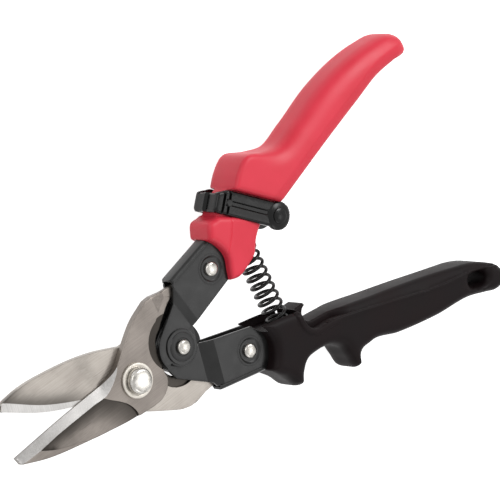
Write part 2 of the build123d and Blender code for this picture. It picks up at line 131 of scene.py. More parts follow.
def start_material(name, color, metallic, roughness, **values):
    """A new material with a Principled shader, its tree, and coordinates in metres."""
    material = bpy.data.materials.new(name)
    material.use_nodes = True
    tree = material.node_tree
    shader = tree.nodes["Principled BSDF"]
    shader.inputs["Base Color"].default_value = linear(color)
    shader.inputs["Metallic"].default_value = metallic
    shader.inputs["Roughness"].default_value = roughness
    for socket, value in values.items():
        shader.inputs[socket.replace("_", " ")].default_value = value
    place = add_node(tree, "ShaderNodeTexCoord").outputs["Object"]
    return material, tree, shader, place


def stretched(tree, place, angle, along, across):
    """Coordinates for streaks that run at an angle in the blade plane, sizes in millimetres."""
    turned = add_node(tree, "ShaderNodeMapping", {0: place},
                      {"Rotation": (0, 0, radians(-angle))}).outputs[0]
    return add_node(tree, "ShaderNodeMapping", {0: turned},
                    {"Scale": (1000 / along, 1000 / across, 1000 / across)}).outputs[0]


def mottle(tree, place, size, detail=3.0):
    """Soft noise whose patches are this many thousandths of the place's unit across."""
    return add_node(tree, "ShaderNodeTexNoise", {"Vector": place},
                    {"Scale": 1000 / size, "Detail": detail}).outputs["Fac"]


def shades(tree, amount, dark, light, low=0.3, high=0.7):
    """A colour that runs from dark to light as amount goes from low to high."""
    ramp = add_node(tree, "ShaderNodeValToRGB", {0: amount})
    ramp.color_ramp.elements[0].position = low
    ramp.color_ramp.elements[1].position = high
    ramp.color_ramp.elements[0].color = linear(dark)
    ramp.color_ramp.elements[1].color = linear(light)
    return ramp.outputs["Color"]


def between(tree, amount, low, high):
    """A plain number that follows a 0 to 1 amount from low to high."""
    return add_node(tree, "ShaderNodeMapRange", {"Value": amount},
                    {"From Min": 0.25, "From Max": 0.75, "To Min": low, "To Max": high}).outputs[0]


def roughen(tree, shader, height, depth, strength):
    """Bumps a shader's surface by a height pattern this many millimetres deep."""
    bump = add_node(tree, "ShaderNodeBump", {"Height": height},
                    {"Distance": depth * MM, "Strength": strength})
    tree.links.new(bump.outputs[0], shader.inputs["Normal"])


print("material helpers ready")

# %% [markdown]
# ### Ground tool steel
# The blades are drop-forged tool steel, surface ground and then left bare. Grinding leaves
# fine lines along the blade and a satin grey with a warm cast. The lines are about a tenth of
# a millimetre apart on the real thing, and are drawn at a quarter so that they show.

# %% Blade steel
# Painted shade: a near-black colour that stands in for dark reflections and shadow on the ground
# steel.
PAINTED_SHADE = "2a2724"


def ground_steel(name, dark, light, angle, roughness):
    """Bare ground steel whose grinding lines run at an angle. Where the value stored on the mesh's
    points falls to 0, the steel takes painted shade, almost black, which stands in for dark
    reflections and shadow."""
    material, tree, shader, place = start_material(name, light, 1.0, roughness)
    lines = mottle(tree, stretched(tree, place, angle, 14, 0.25), 1000, 4)
    cloud = mottle(tree, place, 11)
    mixed = add_node(tree, "ShaderNodeMix", {"A": lines, "B": cloud}, {"Factor": 0.45}).outputs[0]
    unshaded = shades(tree, mixed, dark, light, 0.36, 0.62)
    # painted shade: the steel colour is mixed towards the painted shade colour by the value stored
    # on the mesh's points
    painted_light = add_node(tree, "ShaderNodeAttribute", attribute_name="painted_light").outputs["Fac"]
    shaded_colour = add_node(tree, "ShaderNodeMix", {0: painted_light, 7: unshaded}, {6: linear(PAINTED_SHADE)},
                     data_type="RGBA")
    tree.links.new(shaded_colour.outputs[2], shader.inputs["Base Color"])
    tree.links.new(between(tree, lines, roughness - 0.06, roughness + 0.1),
                   shader.inputs["Roughness"])
    roughen(tree, shader, lines, 0.012, 0.6)
    return material


blade_steel = ground_steel("ground_tool_steel", "6e6863", "87807a", 0, 0.38)
face_steel = ground_steel("fine_ground_tool_steel", "88827c", "a59f98", 0, 0.36)
edge_steel = ground_steel("fresh_ground_bevel", "9c9a98", "bcbab8", 80, 0.40)
print("blade finishes:", blade_steel.name, face_steel.name, edge_steel.name)

# %% [markdown]
# ### Plated and blackened steel
# The bolt, nut and rivets are zinc plated, so they are the brightest things on the tool. The
# frames, latch and spring are blackened: a thin dark skin over steel, satin on the stampings
# and glossier on the latch. It is modelled as a dark surface that isn't metallic, because the
# skin hides the metal. Both are the same network, and only its numbers differ.

# %% Hardware and frame finishes
def mottled(name, dark, light, roughness, metallic, cloud, drift, pebble, **values):
    """A finish whose colour and gloss drift in soft clouds, over a fine pebble.
    A cloud is a size and a detail; a pebble is a size, a depth and a strength."""
    material, tree, shader, place = start_material(name, light, metallic, roughness, **values)
    patches = mottle(tree, place, *cloud)
    tree.links.new(shades(tree, patches, dark, light), shader.inputs["Base Color"])
    tree.links.new(between(tree, patches, roughness - 0.05, roughness + drift),
                   shader.inputs["Roughness"])
    size, depth, strength = pebble
    roughen(tree, shader, mottle(tree, place, size, 2), depth, strength)
    return material


PLATE = {"metallic": 1.0, "cloud": (2.4, 4), "drift": 0.1, "pebble": (1.1, 0.008, 0.06)}
BLACK_SKIN = {"metallic": 0.0, "cloud": (6, 4), "drift": 0.07}
zinc = mottled("zinc_plated_steel", "98958f", "c9c6c1", 0.22, **PLATE)
flange_white = mottled("satin_plated_flange", "b9b4ab", "d2cdc5", 0.42, **PLATE)
black_oxide = mottled("black_oxide_steel", "0d0d0d", "1a1a1a", 0.32, pebble=(0.35, 0.02, 0.5),
                      Specular_IOR_Level=0.38, **BLACK_SKIN)
latch_black = mottled("gloss_black_steel", "040404", "0b0a0a", 0.26, pebble=(0.6, 0.02, 0.5),
                      Specular_IOR_Level=0.2, Coat_Weight=0.1, Coat_Roughness=0.2, **BLACK_SKIN)
spring_black = mottled("black_spring_wire", "060505", "0e0d0d", 0.30, pebble=(0.4, 0.02, 0.5),
                       Specular_IOR_Level=0.22, **BLACK_SKIN)
print("hardware finishes:", zinc.name, black_oxide.name, latch_black.name, spring_black.name)

# %% [markdown]
# ### Moulded grips
# Both grips are injection-moulded soft plastic. The mould is spark eroded, which leaves a fine
# even pebble about half a millimetre across and a semi-gloss surface. Handling polishes it
# unevenly, so the roughness drifts over a few centimetres.

# %% Grip finishes
MOULDED = {"metallic": 0.0, "cloud": (18, 3), "drift": 0.08, "pebble": (0.45, 0.03, 0.5),
           "IOR": 1.5}
red_plastic = mottled("red_moulded_vinyl", "d6283c", "e03247", 0.45,
                      Specular_IOR_Level=0.45, **MOULDED)
black_plastic = mottled("black_moulded_vinyl", "0d0708", "150c0d", 0.52,
                        Specular_IOR_Level=0.12, **MOULDED)
print("grip finishes:", red_plastic.name, black_plastic.name)

# %% [markdown]
# ## A way to build flat-sided parts
# Blades, frames and grips are all flat shapes whose faces rise and fall a little: a bevel, a
# rounded rim, a step. Such a part could be box modelled, but the outline has to match the
# mechanical piece exactly. Here the outline is filled with points, closer together where the
# surface bends, and joined into triangles. Two height rules then lift the front and the back.

# %% Outlines and distances
def curve(points, step=0.8):
    """Points at an even spacing along a smooth curve through the given ones, in millimetres."""
    through = np.array(points, float)
    if len(through) == 2:
        count = max(1, round(np.linalg.norm(through[1] - through[0]) / step))
        return through[0] + (through[1] - through[0]) * np.linspace(0, 1, count + 1)[:, None]
    knots = np.r_[0, np.cumsum(np.linalg.norm(np.diff(through, axis=0), axis=1))]
    slopes = np.gradient(through, knots, axis=0)
    spots = np.linspace(0, knots[-1], max(2, round(knots[-1] / step)) + 1)
    i = np.clip(np.searchsorted(knots, spots) - 1, 0, len(knots) - 2)
    span = (knots[i + 1] - knots[i])[:, None]
    t = ((spots - knots[i])[:, None]) / span
    return (through[i] * (1 + 2 * t) * (1 - t) ** 2 + slopes[i] * span * t * (1 - t) ** 2
            + through[i + 1] * t * t * (3 - 2 * t) + slopes[i + 1] * span * t * t * (t - 1))


def straight(corners, step=0.8):
    """Points at an even spacing along straight lines from corner to corner."""
    runs = [curve(pair, step) for pair in zip(corners, corners[1:])]
    return np.vstack([run[:-1] for run in runs] + [runs[-1][-1:]])


def arc(center, radius, start, stop, step=0.8):
    """Points along an arc, angles in degrees."""
    count = max(2, round(abs(radians(stop - start)) * radius / step))
    angles = np.radians(np.linspace(start, stop, count + 1))
    return np.c_[center[0] + radius * np.cos(angles), center[1] + radius * np.sin(angles)]


def closed(*runs):
    """One closed outline, anticlockwise, from runs that meet end to end."""
    loop = np.vstack([np.asarray(run, float) for run in runs])
    keep = np.linalg.norm(loop - np.roll(loop, 1, 0), axis=1) > 0.02
    loop = loop[keep]
    x, y = loop.T
    area = np.sum(x * np.roll(y, -1) - y * np.roll(x, -1))
    return loop if area > 0 else loop[::-1]


def distance(points, line, ring=True):
    """Distance in millimetres from each point to a line or closed outline."""
    line = np.asarray(line, float)
    start, stop = (line, np.roll(line, -1, 0)) if ring else (line[:-1], line[1:])
    best = np.full(len(points), 1e9)
    for a, b in zip(start, stop):
        along = b - a
        t = np.clip((points - a) @ along / max(along @ along, 1e-9), 0, 1)
        best = np.minimum(best, np.hypot(*(points - a - t[:, None] * along).T))
    return best


def within(points, loop):
    """Which points lie inside a closed outline."""
    x, y = points.T
    inside = np.zeros(len(points), bool)
    for (x0, y0), (x1, y1) in zip(loop, np.roll(loop, -1, 0)):
        crosses = (y0 > y) != (y1 > y)
        if crosses.any():
            inside[crosses] ^= x[crosses] < (x1 - x0) * (y[crosses] - y0) / (y1 - y0) + x0
    return inside


def beside(loop, offset, ring=True):
    """An outline's points moved sideways; positive is inward on an anticlockwise outline."""
    loop = np.asarray(loop, float)
    if ring:
        run = np.roll(loop, -1, 0) - np.roll(loop, 1, 0)
    else:
        run = np.gradient(loop, axis=0)
    run /= np.maximum(np.hypot(*run.T), 1e-9)[:, None]
    return loop + np.c_[-run[:, 1], run[:, 0]] * offset


def eased(amount):
    """0 to 1 with a soft start and stop."""
    t = np.clip(amount, 0, 1)
    return t * t * (3 - 2 * t)


def rim(distance_in, radius):
    """How far a rounded rim has dropped, this far in from the edge."""
    t = np.clip(1 - distance_in / radius, 0, 1)
    return radius * (1 - np.sqrt(np.clip(1 - t * t, 0, 1)))


print("ten points of a curve:", len(curve([(0, 0), (4, 1), (8, 0)])))

# %% The part builder
def add_object(name, mesh, materials, body, replaced=()):
    """Links a mesh as a piece that rides on a body and stands for mechanical nodes."""
    made = bpy.data.objects.new(name, mesh)
    bpy.context.scene.collection.objects.link(made)
    for material in materials:
        mesh.materials.append(material)
    if body:
        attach(made, body)
    if replaced:
        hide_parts(*replaced)
    return made


def lay_out(outline, holes, steps, spacing, rings):
    """Points and triangles that fill an outline, closest where the surface bends."""
    loops = [outline, *holes]
    low, high = outline.min(0), outline.max(0)
    xs = np.arange(low[0], high[0], spacing)
    ys = np.arange(low[1], high[1], spacing * 0.87)
    grid = np.array([(x + (j % 2) * spacing / 2, y) for j, y in enumerate(ys) for x in xs])
    near_edge = np.min([distance(grid, loop) for loop in loops], axis=0)
    clear = near_edge > max(rings[-1] if rings else 0, 0.4) + spacing * 0.3
    for line, offsets in steps:
        clear &= distance(grid, line, False) > max(map(abs, offsets)) + spacing * 0.35
    fill = [grid[clear]]
    for loop, sign in [(outline, 1)] + [(hole, -1) for hole in holes]:
        for inset in rings:
            ring = beside(loop, sign * inset)
            clear = distance(ring, loop) > inset * 0.93
            for step in steps:
                clear &= distance(ring, step[0], False) > 0.3
            fill.append(ring[clear])
    for line, offsets in steps:
        for offset in offsets:
            fill.append(beside(line, offset, False))
    inner = np.vstack(fill)
    good = within(inner, outline)
    for hole in holes:
        good &= ~within(inner, hole)
    good &= np.min([distance(inner, loop) for loop in loops], axis=0) > 0.03
    inner = inner[good]
    points = np.vstack(loops + [inner])
    edges, first = [], 0
    for loop in loops:
        edges += [(first + i, first + (i + 1) % len(loop)) for i in range(len(loop))]
        first += len(loop)
    spots, _, faces, _, _, _ = delaunay_2d_cdt([Vector(p) for p in points], edges, [], 0, 1e-4)
    spots = np.array([tuple(s) for s in spots])
    faces = np.array([f for f in faces if len(f) == 3])
    middle = spots[faces].mean(1)
    kept = within(middle, outline)
    for hole in holes:
        kept &= ~within(middle, hole)
    return spots, faces[kept]


def slab(outline, front, back, holes=(), steps=(), spacing=1.6, rings=(0.15, 0.5, 1.0)):
    """A closed mesh whose front and back heights above the blade plane follow two rules.
    Each rule is given the points and their distance from the rim, in millimetres."""
    spots, faces = lay_out(outline, list(holes), list(steps), spacing, rings)
    rim_distance = np.min([distance(spots, loop) for loop in [outline, *holes]], axis=0)
    top = np.c_[spots, MID + front(spots, rim_distance)]
    bottom = np.c_[spots, MID + back(spots, rim_distance)]
    count = len(spots)
    used = {}
    for a, b, c in faces:
        for edge in ((a, b), (b, c), (c, a)):
            used[edge] = used.get(edge, 0) + 1
    walls = [(a, a + count, b + count, b) for a, b in used if (b, a) not in used]
    mesh = bpy.data.meshes.new("slab")
    mesh.from_pydata(np.vstack([top, bottom]) * MM, [],
                     [tuple(f) for f in faces] + [tuple(f[::-1] + count) for f in faces] + walls)
    return mesh


def tidy(mesh, angle=38):
    """Drops loose points, merges doubles and shades smooth except across sharp bends."""
    work = bmesh.new()
    work.from_mesh(mesh)
    bmesh.ops.delete(work, geom=[v for v in work.verts if not v.link_faces], context="VERTS")
    bmesh.ops.remove_doubles(work, verts=work.verts, dist=2e-6)
    bmesh.ops.recalc_face_normals(work, faces=work.faces)
    work.to_mesh(mesh)
    work.free()
    mesh.shade_smooth()
    mesh.set_sharp_from_angle(angle=radians(angle))
    return mesh


def painted_light(mesh, rule):
    """Stores painted light and shade for the steel material at each point, from 0, full painted
    shade, to 1, none.
    """
    spots = np.array([vertex.co[:] for vertex in mesh.vertices]) / MM
    unshaded = np.clip(rule(spots[:, :2], spots[:, 2] - MID), 0, 1)
    layer = mesh.attributes.new("painted_light", "FLOAT", "POINT")
    layer.data.foreach_set("value", unshaded.astype(np.float32))


def cut(mesh, *cutters):
    """Takes other closed meshes away from one, and returns what is left."""
    target = bpy.data.objects.new("target", mesh)
    bpy.context.scene.collection.objects.link(target)
    tools = []
    for cutter in cutters:
        tool = bpy.data.objects.new("tool", cutter)
        bpy.context.scene.collection.objects.link(tool)
        tools.append(tool)
        modifier = target.modifiers.new("cut", "BOOLEAN")
        modifier.operation = "DIFFERENCE"
        modifier.solver = "EXACT"
        modifier.object = tool
    depsgraph = bpy.context.evaluated_depsgraph_get()
    result = bpy.data.meshes.new_from_object(target.evaluated_get(depsgraph))
    for spare in [target, *tools]:
        bpy.data.objects.remove(spare)
    return result


def join(*meshes):
    """Several meshes as one, left as separate shells."""
    work = bmesh.new()
    for mesh in meshes:
        work.from_mesh(mesh)
    whole = bpy.data.meshes.new("whole")
    work.to_mesh(whole)
    work.free()
    return whole


def tube(name, rings):
    """A closed tube through rings of points in metres, capped at both ends."""
    work = bmesh.new()
    rings = [[work.verts.new(spot) for spot in ring] for ring in rings]
    count = len(rings[0])
    for a, b in zip(rings, rings[1:]):
        for i in range(count):
            work.faces.new((a[i], a[(i + 1) % count], b[(i + 1) % count], b[i]))
    work.faces.new(rings[0][::-1])
    work.faces.new(rings[-1])
    mesh = bpy.data.meshes.new(name)
    work.to_mesh(mesh)
    work.free()
    return mesh


def turned_part(profile, place=(0, 0), axis="Z", segments=64):
    """A lathe-turned part: a profile of radius and level, spun about an axis through a place."""
    angles = np.linspace(0, 2 * pi, segments, endpoint=False)
    points, faces = [], []
    for i, (radius, level) in enumerate(profile):
        j = (i + 1) % len(profile)
        for k, a in enumerate(angles):
            x, y, z = radius * cos(a), radius * sin(a), level
            if axis == "Y":
                y, z = level, radius * sin(a)
            points.append((place[0] + x, place[1] + y, MID + z))
            m = (k + 1) % segments
            faces.append((i * segments + k, i * segments + m, j * segments + m, j * segments + k))
    mesh = bpy.data.meshes.new("turned")
    mesh.from_pydata(np.array(points) * MM, [], faces)
    return mesh


print("part builder ready")

# %% [markdown]
# ## Upper grip
# The red grip is a fat moulded handle: a thick body with a shoulder for the thumb, a thinner
# neck that the latch loop wraps, and a short nose round the frame's end. It is one moulding,
# so it is one piece here, with the thickness changing from part to part and every rim rounded.

# %% Upper grip
LATCH_PIN = (69.56, 38.593)
LATCH_BAR = (88.3, 21.3)
LATCH_SLOPE = -42.7
SPRING_X = 71.5        # the spring stands across the handles here, in a well in each grip
WELL_RADIUS = 5.6
WELL_DEPTH = 21.2
HUB = 0.01             # turned profiles start this near to their axis

upper_outline = closed(
    curve([(54.3, 30.6), (57.2, 26.2), (58.9, 20.2), (57.2, 14.0), (56.4, 11.0)], 0.6),
    curve([(56.4, 11.0), (60.6, 9.8), (66.0, 10.9), (72.0, 13.4), (75.6, 18.2)]),
    curve([(75.6, 18.2), (78.5, 20.8), (81.5, 22.4), (86.3, 25.3), (93.0, 25.8)]),
    curve([(93.0, 25.8), (126.0, 35.9), (146.0, 41.6), (160.0, 45.4), (168.0, 46.0),
           (175.4, 45.8)]),
    curve([(175.4, 45.8), (177.4, 46.8), (177.9, 48.8)], 0.4),
    curve([(177.9, 48.8), (176.7, 54.0), (172.2, 57.0), (163.0, 58.3), (153.0, 58.3), (134.0, 55.4),
           (114.0, 48.9), (101.3, 45.6), (94.0, 47.4), (84.0, 50.8), (78.0, 47.4), (73.2, 42.6)]),
    arc(LATCH_PIN, 3.7, 60, 150, 0.5),
    curve([ray(LATCH_PIN, 150, 3.7), (62.5, 36.4), (57.6, 36.1), (54.3, 30.6)]))

across_neck = LATCH_SLOPE + 90
body_line = curve([ray(ray(LATCH_PIN, across_neck, 5.45), LATCH_SLOPE + 180, 9),
                   ray(ray(LATCH_PIN, across_neck, 5.45), LATCH_SLOPE, 34)], 0.6)
nose_line = curve([ray(ray(LATCH_PIN, LATCH_SLOPE - 78, 5.45), LATCH_SLOPE + 192, 9),
                   ray(ray(LATCH_PIN, LATCH_SLOPE - 78, 5.45), LATCH_SLOPE + 12, 30)], 0.6)
bottom_edge = curve([(80, 22), (93.0, 25.8), (126.0, 35.9), (146.0, 41.6), (160.0, 45.4),
                     (168.0, 46.0), (180.0, 45.4)])
top_edge = curve([(84.0, 50.8), (94.0, 47.4), (101.3, 45.6), (114.0, 48.9), (134.0, 55.4),
                  (153.0, 58.3), (163.0, 58.3), (172.2, 57.0), (176.7, 54.0), (179.8, 48.0)])
nose_crease = curve([(69.4, 35.2), (67.9, 32.9), (62.4, 24.8), (57.2, 19.6)], 0.6)


def side_of(points, line):
    """How far points lie to the left of a straight line, in millimetres."""
    start, stop = np.asarray(line[0]), np.asarray(line[-1])
    run = (stop - start) / np.linalg.norm(stop - start)
    return (points - start) @ np.array([-run[1], run[0]])


def upper_half(points, rim_in):
    """Half thickness of the upper grip."""
    body = side_of(points, body_line)
    nose = -side_of(points, nose_line)
    chamfer = 0.32 * np.clip(5.6 - distance(points, bottom_edge, False), 0, 6)
    cheek = 0.62 * rim(distance(points, top_edge, False), 9.0) * eased((points[:, 0] - 86) / 18)
    fat = 10.2 - chamfer - cheek - rim(np.minimum(rim_in, np.maximum(body, 0)), 2.0)
    facet = side_of(points, nose_crease[[2, -3]])
    fold = 0.3 * np.clip(1 - distance(points, nose_crease, False) / 0.6, 0, 1) + np.where(
        facet > 0, 0.13 * facet, 0.03 * -facet)
    end = 7.75 - fold - rim(np.minimum(rim_in, np.maximum(nose, 0)), 2.2)
    neck = 5.2 - rim(rim_in, 1.2)
    return np.where(body > 0, np.maximum(fat, 2), np.where(nose > 0, np.maximum(end, 2), neck))


def upper_back(points, rim_in):
    """Far face of the upper grip: the same, with the shoulder's edge rounded more."""
    at_shoulder = 1 - eased((points[:, 0] - 82) / 8)
    body = side_of(points, body_line) > 0
    return 0.6 * rim(rim_in, 5.0) * at_shoulder * body - upper_half(points, rim_in)


upper_mesh = slab(upper_outline, upper_half, upper_back,
                  steps=[(body_line, (-0.06, 0.06, 0.3, 0.8, 1.5, 2.2)),
                         (nose_line, (0.06, -0.06, -0.3, -0.8, -1.5, -2.3)),
                         (nose_crease, (-0.6, -0.3, 0, 0.3, 0.6)), (bottom_edge, (5.4, 5.8))],
                  spacing=1.5, rings=(0.08, 0.3, 0.7, 1.2, 1.9, 3.0, 4.4, 6.2))
well_profile = [(HUB, 0), (WELL_RADIUS, 0), (WELL_RADIUS, WELL_DEPTH), (HUB, WELL_DEPTH)]
spring_well = turned_part(well_profile, (SPRING_X, 0), "Y")
upper_grip = add_object("upper_grip_moulding", tidy(cut(upper_mesh, spring_well), 50),
                        [red_plastic], "upper_handle", ["upper_grip"])
print("upper grip:", len(upper_grip.data.polygons), "faces")

# %% [markdown]
# ## Lower grip
# The black grip has two rounded guards that keep a finger in place, and a notch where the
# latch bar drops in when the tool is locked. A seam runs along its face: a raised lip lines
# it, and the top falls away beyond it. An open trough takes the nose of the red grip, and a
# slot near the end takes a cord. The trough and the spring's well are cut from the finished
# block, because a height rule can't make a hollow that opens sideways.

# %% Lower grip
def turned(point, pivot, angle):
    """A point turned about a pivot by an angle in degrees."""
    reach = hypot(point[0] - pivot[0], point[1] - pivot[1])
    start = degrees(atan2(point[1] - pivot[1], point[0] - pivot[0]))
    return ray(pivot, start + angle, reach)


HOOK = turned(turned(LATCH_BAR, LATCH_PIN, -12), CENTER, -36)
HOOK_RADIUS = 3.6
NOTCH_RADIUS = 6.4
tip = ray(HOOK, 97, HOOK_RADIUS)
lower_top = curve([(154.0, -43.8), (134.0, -37.5), (114.0, -31.8), (98.0, -27.2), (91.0, -25.6)])
lower_outline = closed(
    curve([(57.3, -11.0), (59.6, -15.5), (60.3, -20.0), (58.2, -26.0), (54.5, -30.2)], 0.6),
    curve([(54.5, -30.2), (59.7, -38.4), (62.2, -42.6), (65.2, -43.7), (68.4, -39.6),
           (72.7, -36.1), (77.0, -35.9), (81.0, -36.4), (85.5, -38.1), (88.6, -40.8),
           (90.0, -46.5), (91.8, -52.8),
           (94.2, -53.0), (96.6, -48.8), (102.9, -47.3), (117.0, -51.8), (137.0, -56.4),
           (157.0, -59.3), (165.0, -62.3), (170.5, -64.2), (175.0, -63.4), (177.2, -60.2),
           (175.6, -55.8), (171.0, -51.5), (163.0, -46.9), (154.0, -43.8)]),
    lower_top,
    curve([(91.0, -25.6), ray(HOOK, 270, HOOK_RADIUS)], 0.5),
    arc(HOOK, HOOK_RADIUS, 270, 97, 0.5),
    curve([tip, (82.4, -16.1)], 0.5),
    curve([(82.4, -16.1), (79.6, -16.0), (76.8, -15.9), (72.5, -14.6), (66.0, -12.9),
           (57.3, -11.0)]))
NOTCH_SIDE = HOOK[0] - NOTCH_RADIUS
seam = curve([ray(HOOK, 270, NOTCH_RADIUS), (88.0, -27.6), (92.5, -28.6), (101.0, -31.2),
              (117.7, -36.9), (143.5, -45.2), (160.3, -48.9), (169.0, -51.8), (177.0, -55.5)])
notch_line = np.vstack([curve([(NOTCH_SIDE, -8), (NOTCH_SIDE, HOOK[1])], 0.6)[:-1],
                        arc(HOOK, NOTCH_RADIUS, 180, 270, 0.6)[:-1], seam])
top_area = np.vstack([notch_line, [(190, -40), (190, 5), (NOTCH_SIDE, 5)]])
SLOT = (163, -54.6)    # middle of the slot, which leans 17 degrees
SLOT_HALF = 2.2        # from its middle to the centre of each round end
SLOT_RADIUS = 2.8
slot_hole = closed(arc(ray(SLOT, -17, SLOT_HALF), SLOT_RADIUS, -107, 73, 0.5),
                   arc(ray(SLOT, 163, SLOT_HALF), SLOT_RADIUS, 73, 253, 0.5))
GRIP_FACE = 9.7       # the face stands half a millimetre below the raised lip of the notch
LIP_WIDTH = 2.3


def guard_rounding(points, rim_in):
    """How far the finger guards' edges are rounded off, beyond the rest of the grip."""
    at_guards = eased((-33 - points[:, 1]) / 4) * (1 - eased((points[:, 0] - 97) / 6))
    return at_guards * rim(rim_in, 6.0)


def lower_half(points, rim_in):
    """Half thickness of the lower grip: front face, raised lip, notch floor and sloped top."""
    from_seam = distance(points, notch_line, False)
    width = LIP_WIDTH - 1.3 * eased((points[:, 0] - 88) / 18)
    lip = 0.5 * eased((width + 0.5 - from_seam) / 0.5)
    soft = rim(rim_in, 3.4)
    guards = 0.3 * guard_rounding(points, rim_in)
    face = GRIP_FACE + lip - soft - rim(from_seam, 0.7) - guards
    slope = GRIP_FACE - 0.5 - 0.62 * from_seam - rim(rim_in, 1.4)
    floor = 5.2 - rim(rim_in, 0.7)
    behind = floor + (slope - floor) * eased((points[:, 0] - 90) / 10)
    return np.where(within(points, top_area), behind, np.maximum(face, 2.5))


def lower_back(points, rim_in):
    """Far face of the lower grip: the same, with the guards' edges rounded more."""
    return 0.4 * guard_rounding(points, rim_in) - lower_half(points, rim_in)


lower_block = slab(lower_outline, lower_half, lower_back, holes=[slot_hole],
                   steps=[(notch_line, (0.06, -0.06, -0.3, -0.8, -LIP_WIDTH,
                                        -LIP_WIDTH - 0.25, -LIP_WIDTH - 0.5)),
                          (seam[6:], (1.0, 2.0))],
                   spacing=1.5, rings=(0.08, 0.3, 0.7, 1.2, 1.8, 2.8, 4.4, 6.2))
trough = slab(closed([(50, -13.6), (58, -14.8), (70, -18.3), (76.9, -18.6), (76.9, -5), (50, -5)]),
              lambda p, d: 8.1 + 0 * d, lambda p, d: -8.1 + 0 * d, spacing=4, rings=())
lower_profile = [(radius, level - WELL_DEPTH) for radius, level in well_profile]
lower_well = turned_part(lower_profile, (SPRING_X, 0), "Y")
lower_grip = add_object("lower_grip_moulding", tidy(cut(lower_block, trough, lower_well), 50),
                        [black_plastic], "lower_handle", ["lower_grip"])
print("lower grip:", len(lower_grip.data.polygons), "faces; hook at", [round(v, 2) for v in HOOK])

# %% [markdown]
# ## Frames
# Each handle's frame is pressed from 1.2 mm sheet: two plates joined by a folded back. Near
# the middle rivet the plates step inwards so that the two frames can interleave, and round
# each tang rivet they are dished. The front and back plates are separate slabs, and the fold
# is a third with rounded corners, which meets them edge to edge.

# %% Frames
SHEET = 1.2
CHANNEL = 3.7                     # outside of the channel from the blade plane
OUTER_EAR = 3.1
INNER_EAR = 1.25
FOLD = 2.0                        # how far the fold's rounded strip reaches inwards
DISH_RADIUS = 5.4
STEP_SLOPE = 12                   # the plates step outwards along this direction
STEP_UP = {OUTER_EAR: (8.8, 12.6), INNER_EAR: (9.0, 15.0)}


def mirrored(points, side):
    """Points of the upper half, put on the upper or the lower side."""
    return np.asarray(points, float) * (1, side)


def plate_level(points, side, ear):
    """Outside height of one plate: low at the ear, stepped up to the channel, dished."""
    slope = radians(STEP_SLOPE)
    along = (points - np.array(CENTER)) @ np.array([cos(slope), side * sin(slope)])
    start, stop = STEP_UP[ear]
    level = ear + (CHANNEL - ear) * np.clip((along - start) / (stop - start), 0, 1)
    reach = np.hypot(*(points - mirrored([TANG], side)[0]).T)
    dish = np.clip(DISH_RADIUS - reach, 0, 1)
    ring = 0.35 * np.clip(1 - np.abs(reach - DISH_RADIUS - 0.3) / 0.5, 0, 1)
    return level - eased(dish) * 0.6 - ring * 0.4


def plate(side, face, ear):
    """One plate of a frame, on the face it belongs to."""
    if ear == OUTER_EAR:
        tip_run = arc(CENTER, 7.9, 352, 205, 0.6)
        round_run = arc(CENTER, 10.5, 205, 129, 0.6)
        flank = [(29.2, 16.4), (32.2, 22.2), (32.0, 23.5)]
    else:
        tip_run = arc(CENTER, 10.5, 378, 205, 0.6)
        round_run = arc(CENTER, 10.5, 205, 146, 0.6)
        flank = [(17.3, 10.6), (31.2, 21.4), (32.0, 23.5)]
    top = [(34.3, 23.9), (60.0, 29.6), (68.0, 29.6), (70.0, 24.0)]
    under = [(64.8, 22.6), (60.5, 16.5), (56.5, 11.0)]
    outline = closed(*[mirrored(run, side) for run in (
        tip_run, round_run, straight([round_run[-1], *flank[:2]]), curve(flank[1:], 0.6),
        straight([flank[-1], *top, under[0]]), curve(under, 0.8),
        curve([under[-1], (31.8, 3.7)]), curve([(31.8, 3.7), tip_run[0]], 0.5))])
    steps = []
    for reach in STEP_UP[ear]:
        foot = ray(CENTER, STEP_SLOPE, reach)
        line = curve([ray(foot, STEP_SLOPE + 90, 22), ray(foot, STEP_SLOPE - 90, 14)])
        steps.append((mirrored(line, side), (-0.35, 0, 0.35)))
    dish_ring = mirrored(arc(TANG, DISH_RADIUS, 0, 360, 0.5), side)
    ring_offsets = (1.3, 1.0, 0.6, 0.2, -0.2, -0.6, -1.0)
    steps.append((dish_ring, tuple(-side * v for v in ring_offsets)))

    def outside(points, rim_in):
        return plate_level(points, side, ear) - rim(rim_in, 0.3)

    def inside(points, rim_in):
        return plate_level(points, side, ear) - SHEET

    if face > 0:
        return slab(outline, outside, inside, steps=steps, spacing=1.8, rings=(0.08, 0.2, 0.35))
    return slab(outline, lambda p, d: -inside(p, d), lambda p, d: -outside(p, d),
                steps=steps, spacing=1.8, rings=(0.08, 0.2, 0.35))


def folded_back(side):
    """The rounded fold that joins a frame's two plates along its back."""
    spine = np.vstack([curve([(32.4, 25.4), (34.0, 25.85)], 0.5)[:-1],
                       straight([(34.0, 25.85), (60.0, 31.6), (68.0, 31.6)])])

    def inward(offset):
        """The spine moved inwards, without the points that would cross over at its bends."""
        line = beside(spine, -offset, False)
        return line[distance(line, spine, False) > 0.98 * offset]

    outline = closed(mirrored(spine, side), mirrored(inward(FOLD)[::-1], side))
    back = mirrored(spine, side)

    def half(points, rim_in):
        return CHANNEL - rim(distance(points, back, False), 1.6)

    block = slab(outline, half, lambda p, d: -half(p, d), spacing=1.0,
                 steps=[(back, tuple(-side * v for v in (0.1, 0.3, 0.6, 1.0, 1.4, 1.7)))], rings=())
    hollow = closed(mirrored(inward(SHEET), side), mirrored(inward(FOLD + 3)[::-1], side))
    hollow = np.where(hollow[:, :1] < 33.5, hollow - (2, 0), hollow)
    core = slab(hollow, lambda p, d: CHANNEL - SHEET + 0 * d, lambda p, d: SHEET - CHANNEL + 0 * d,
                spacing=3, rings=())
    return cut(block, core)


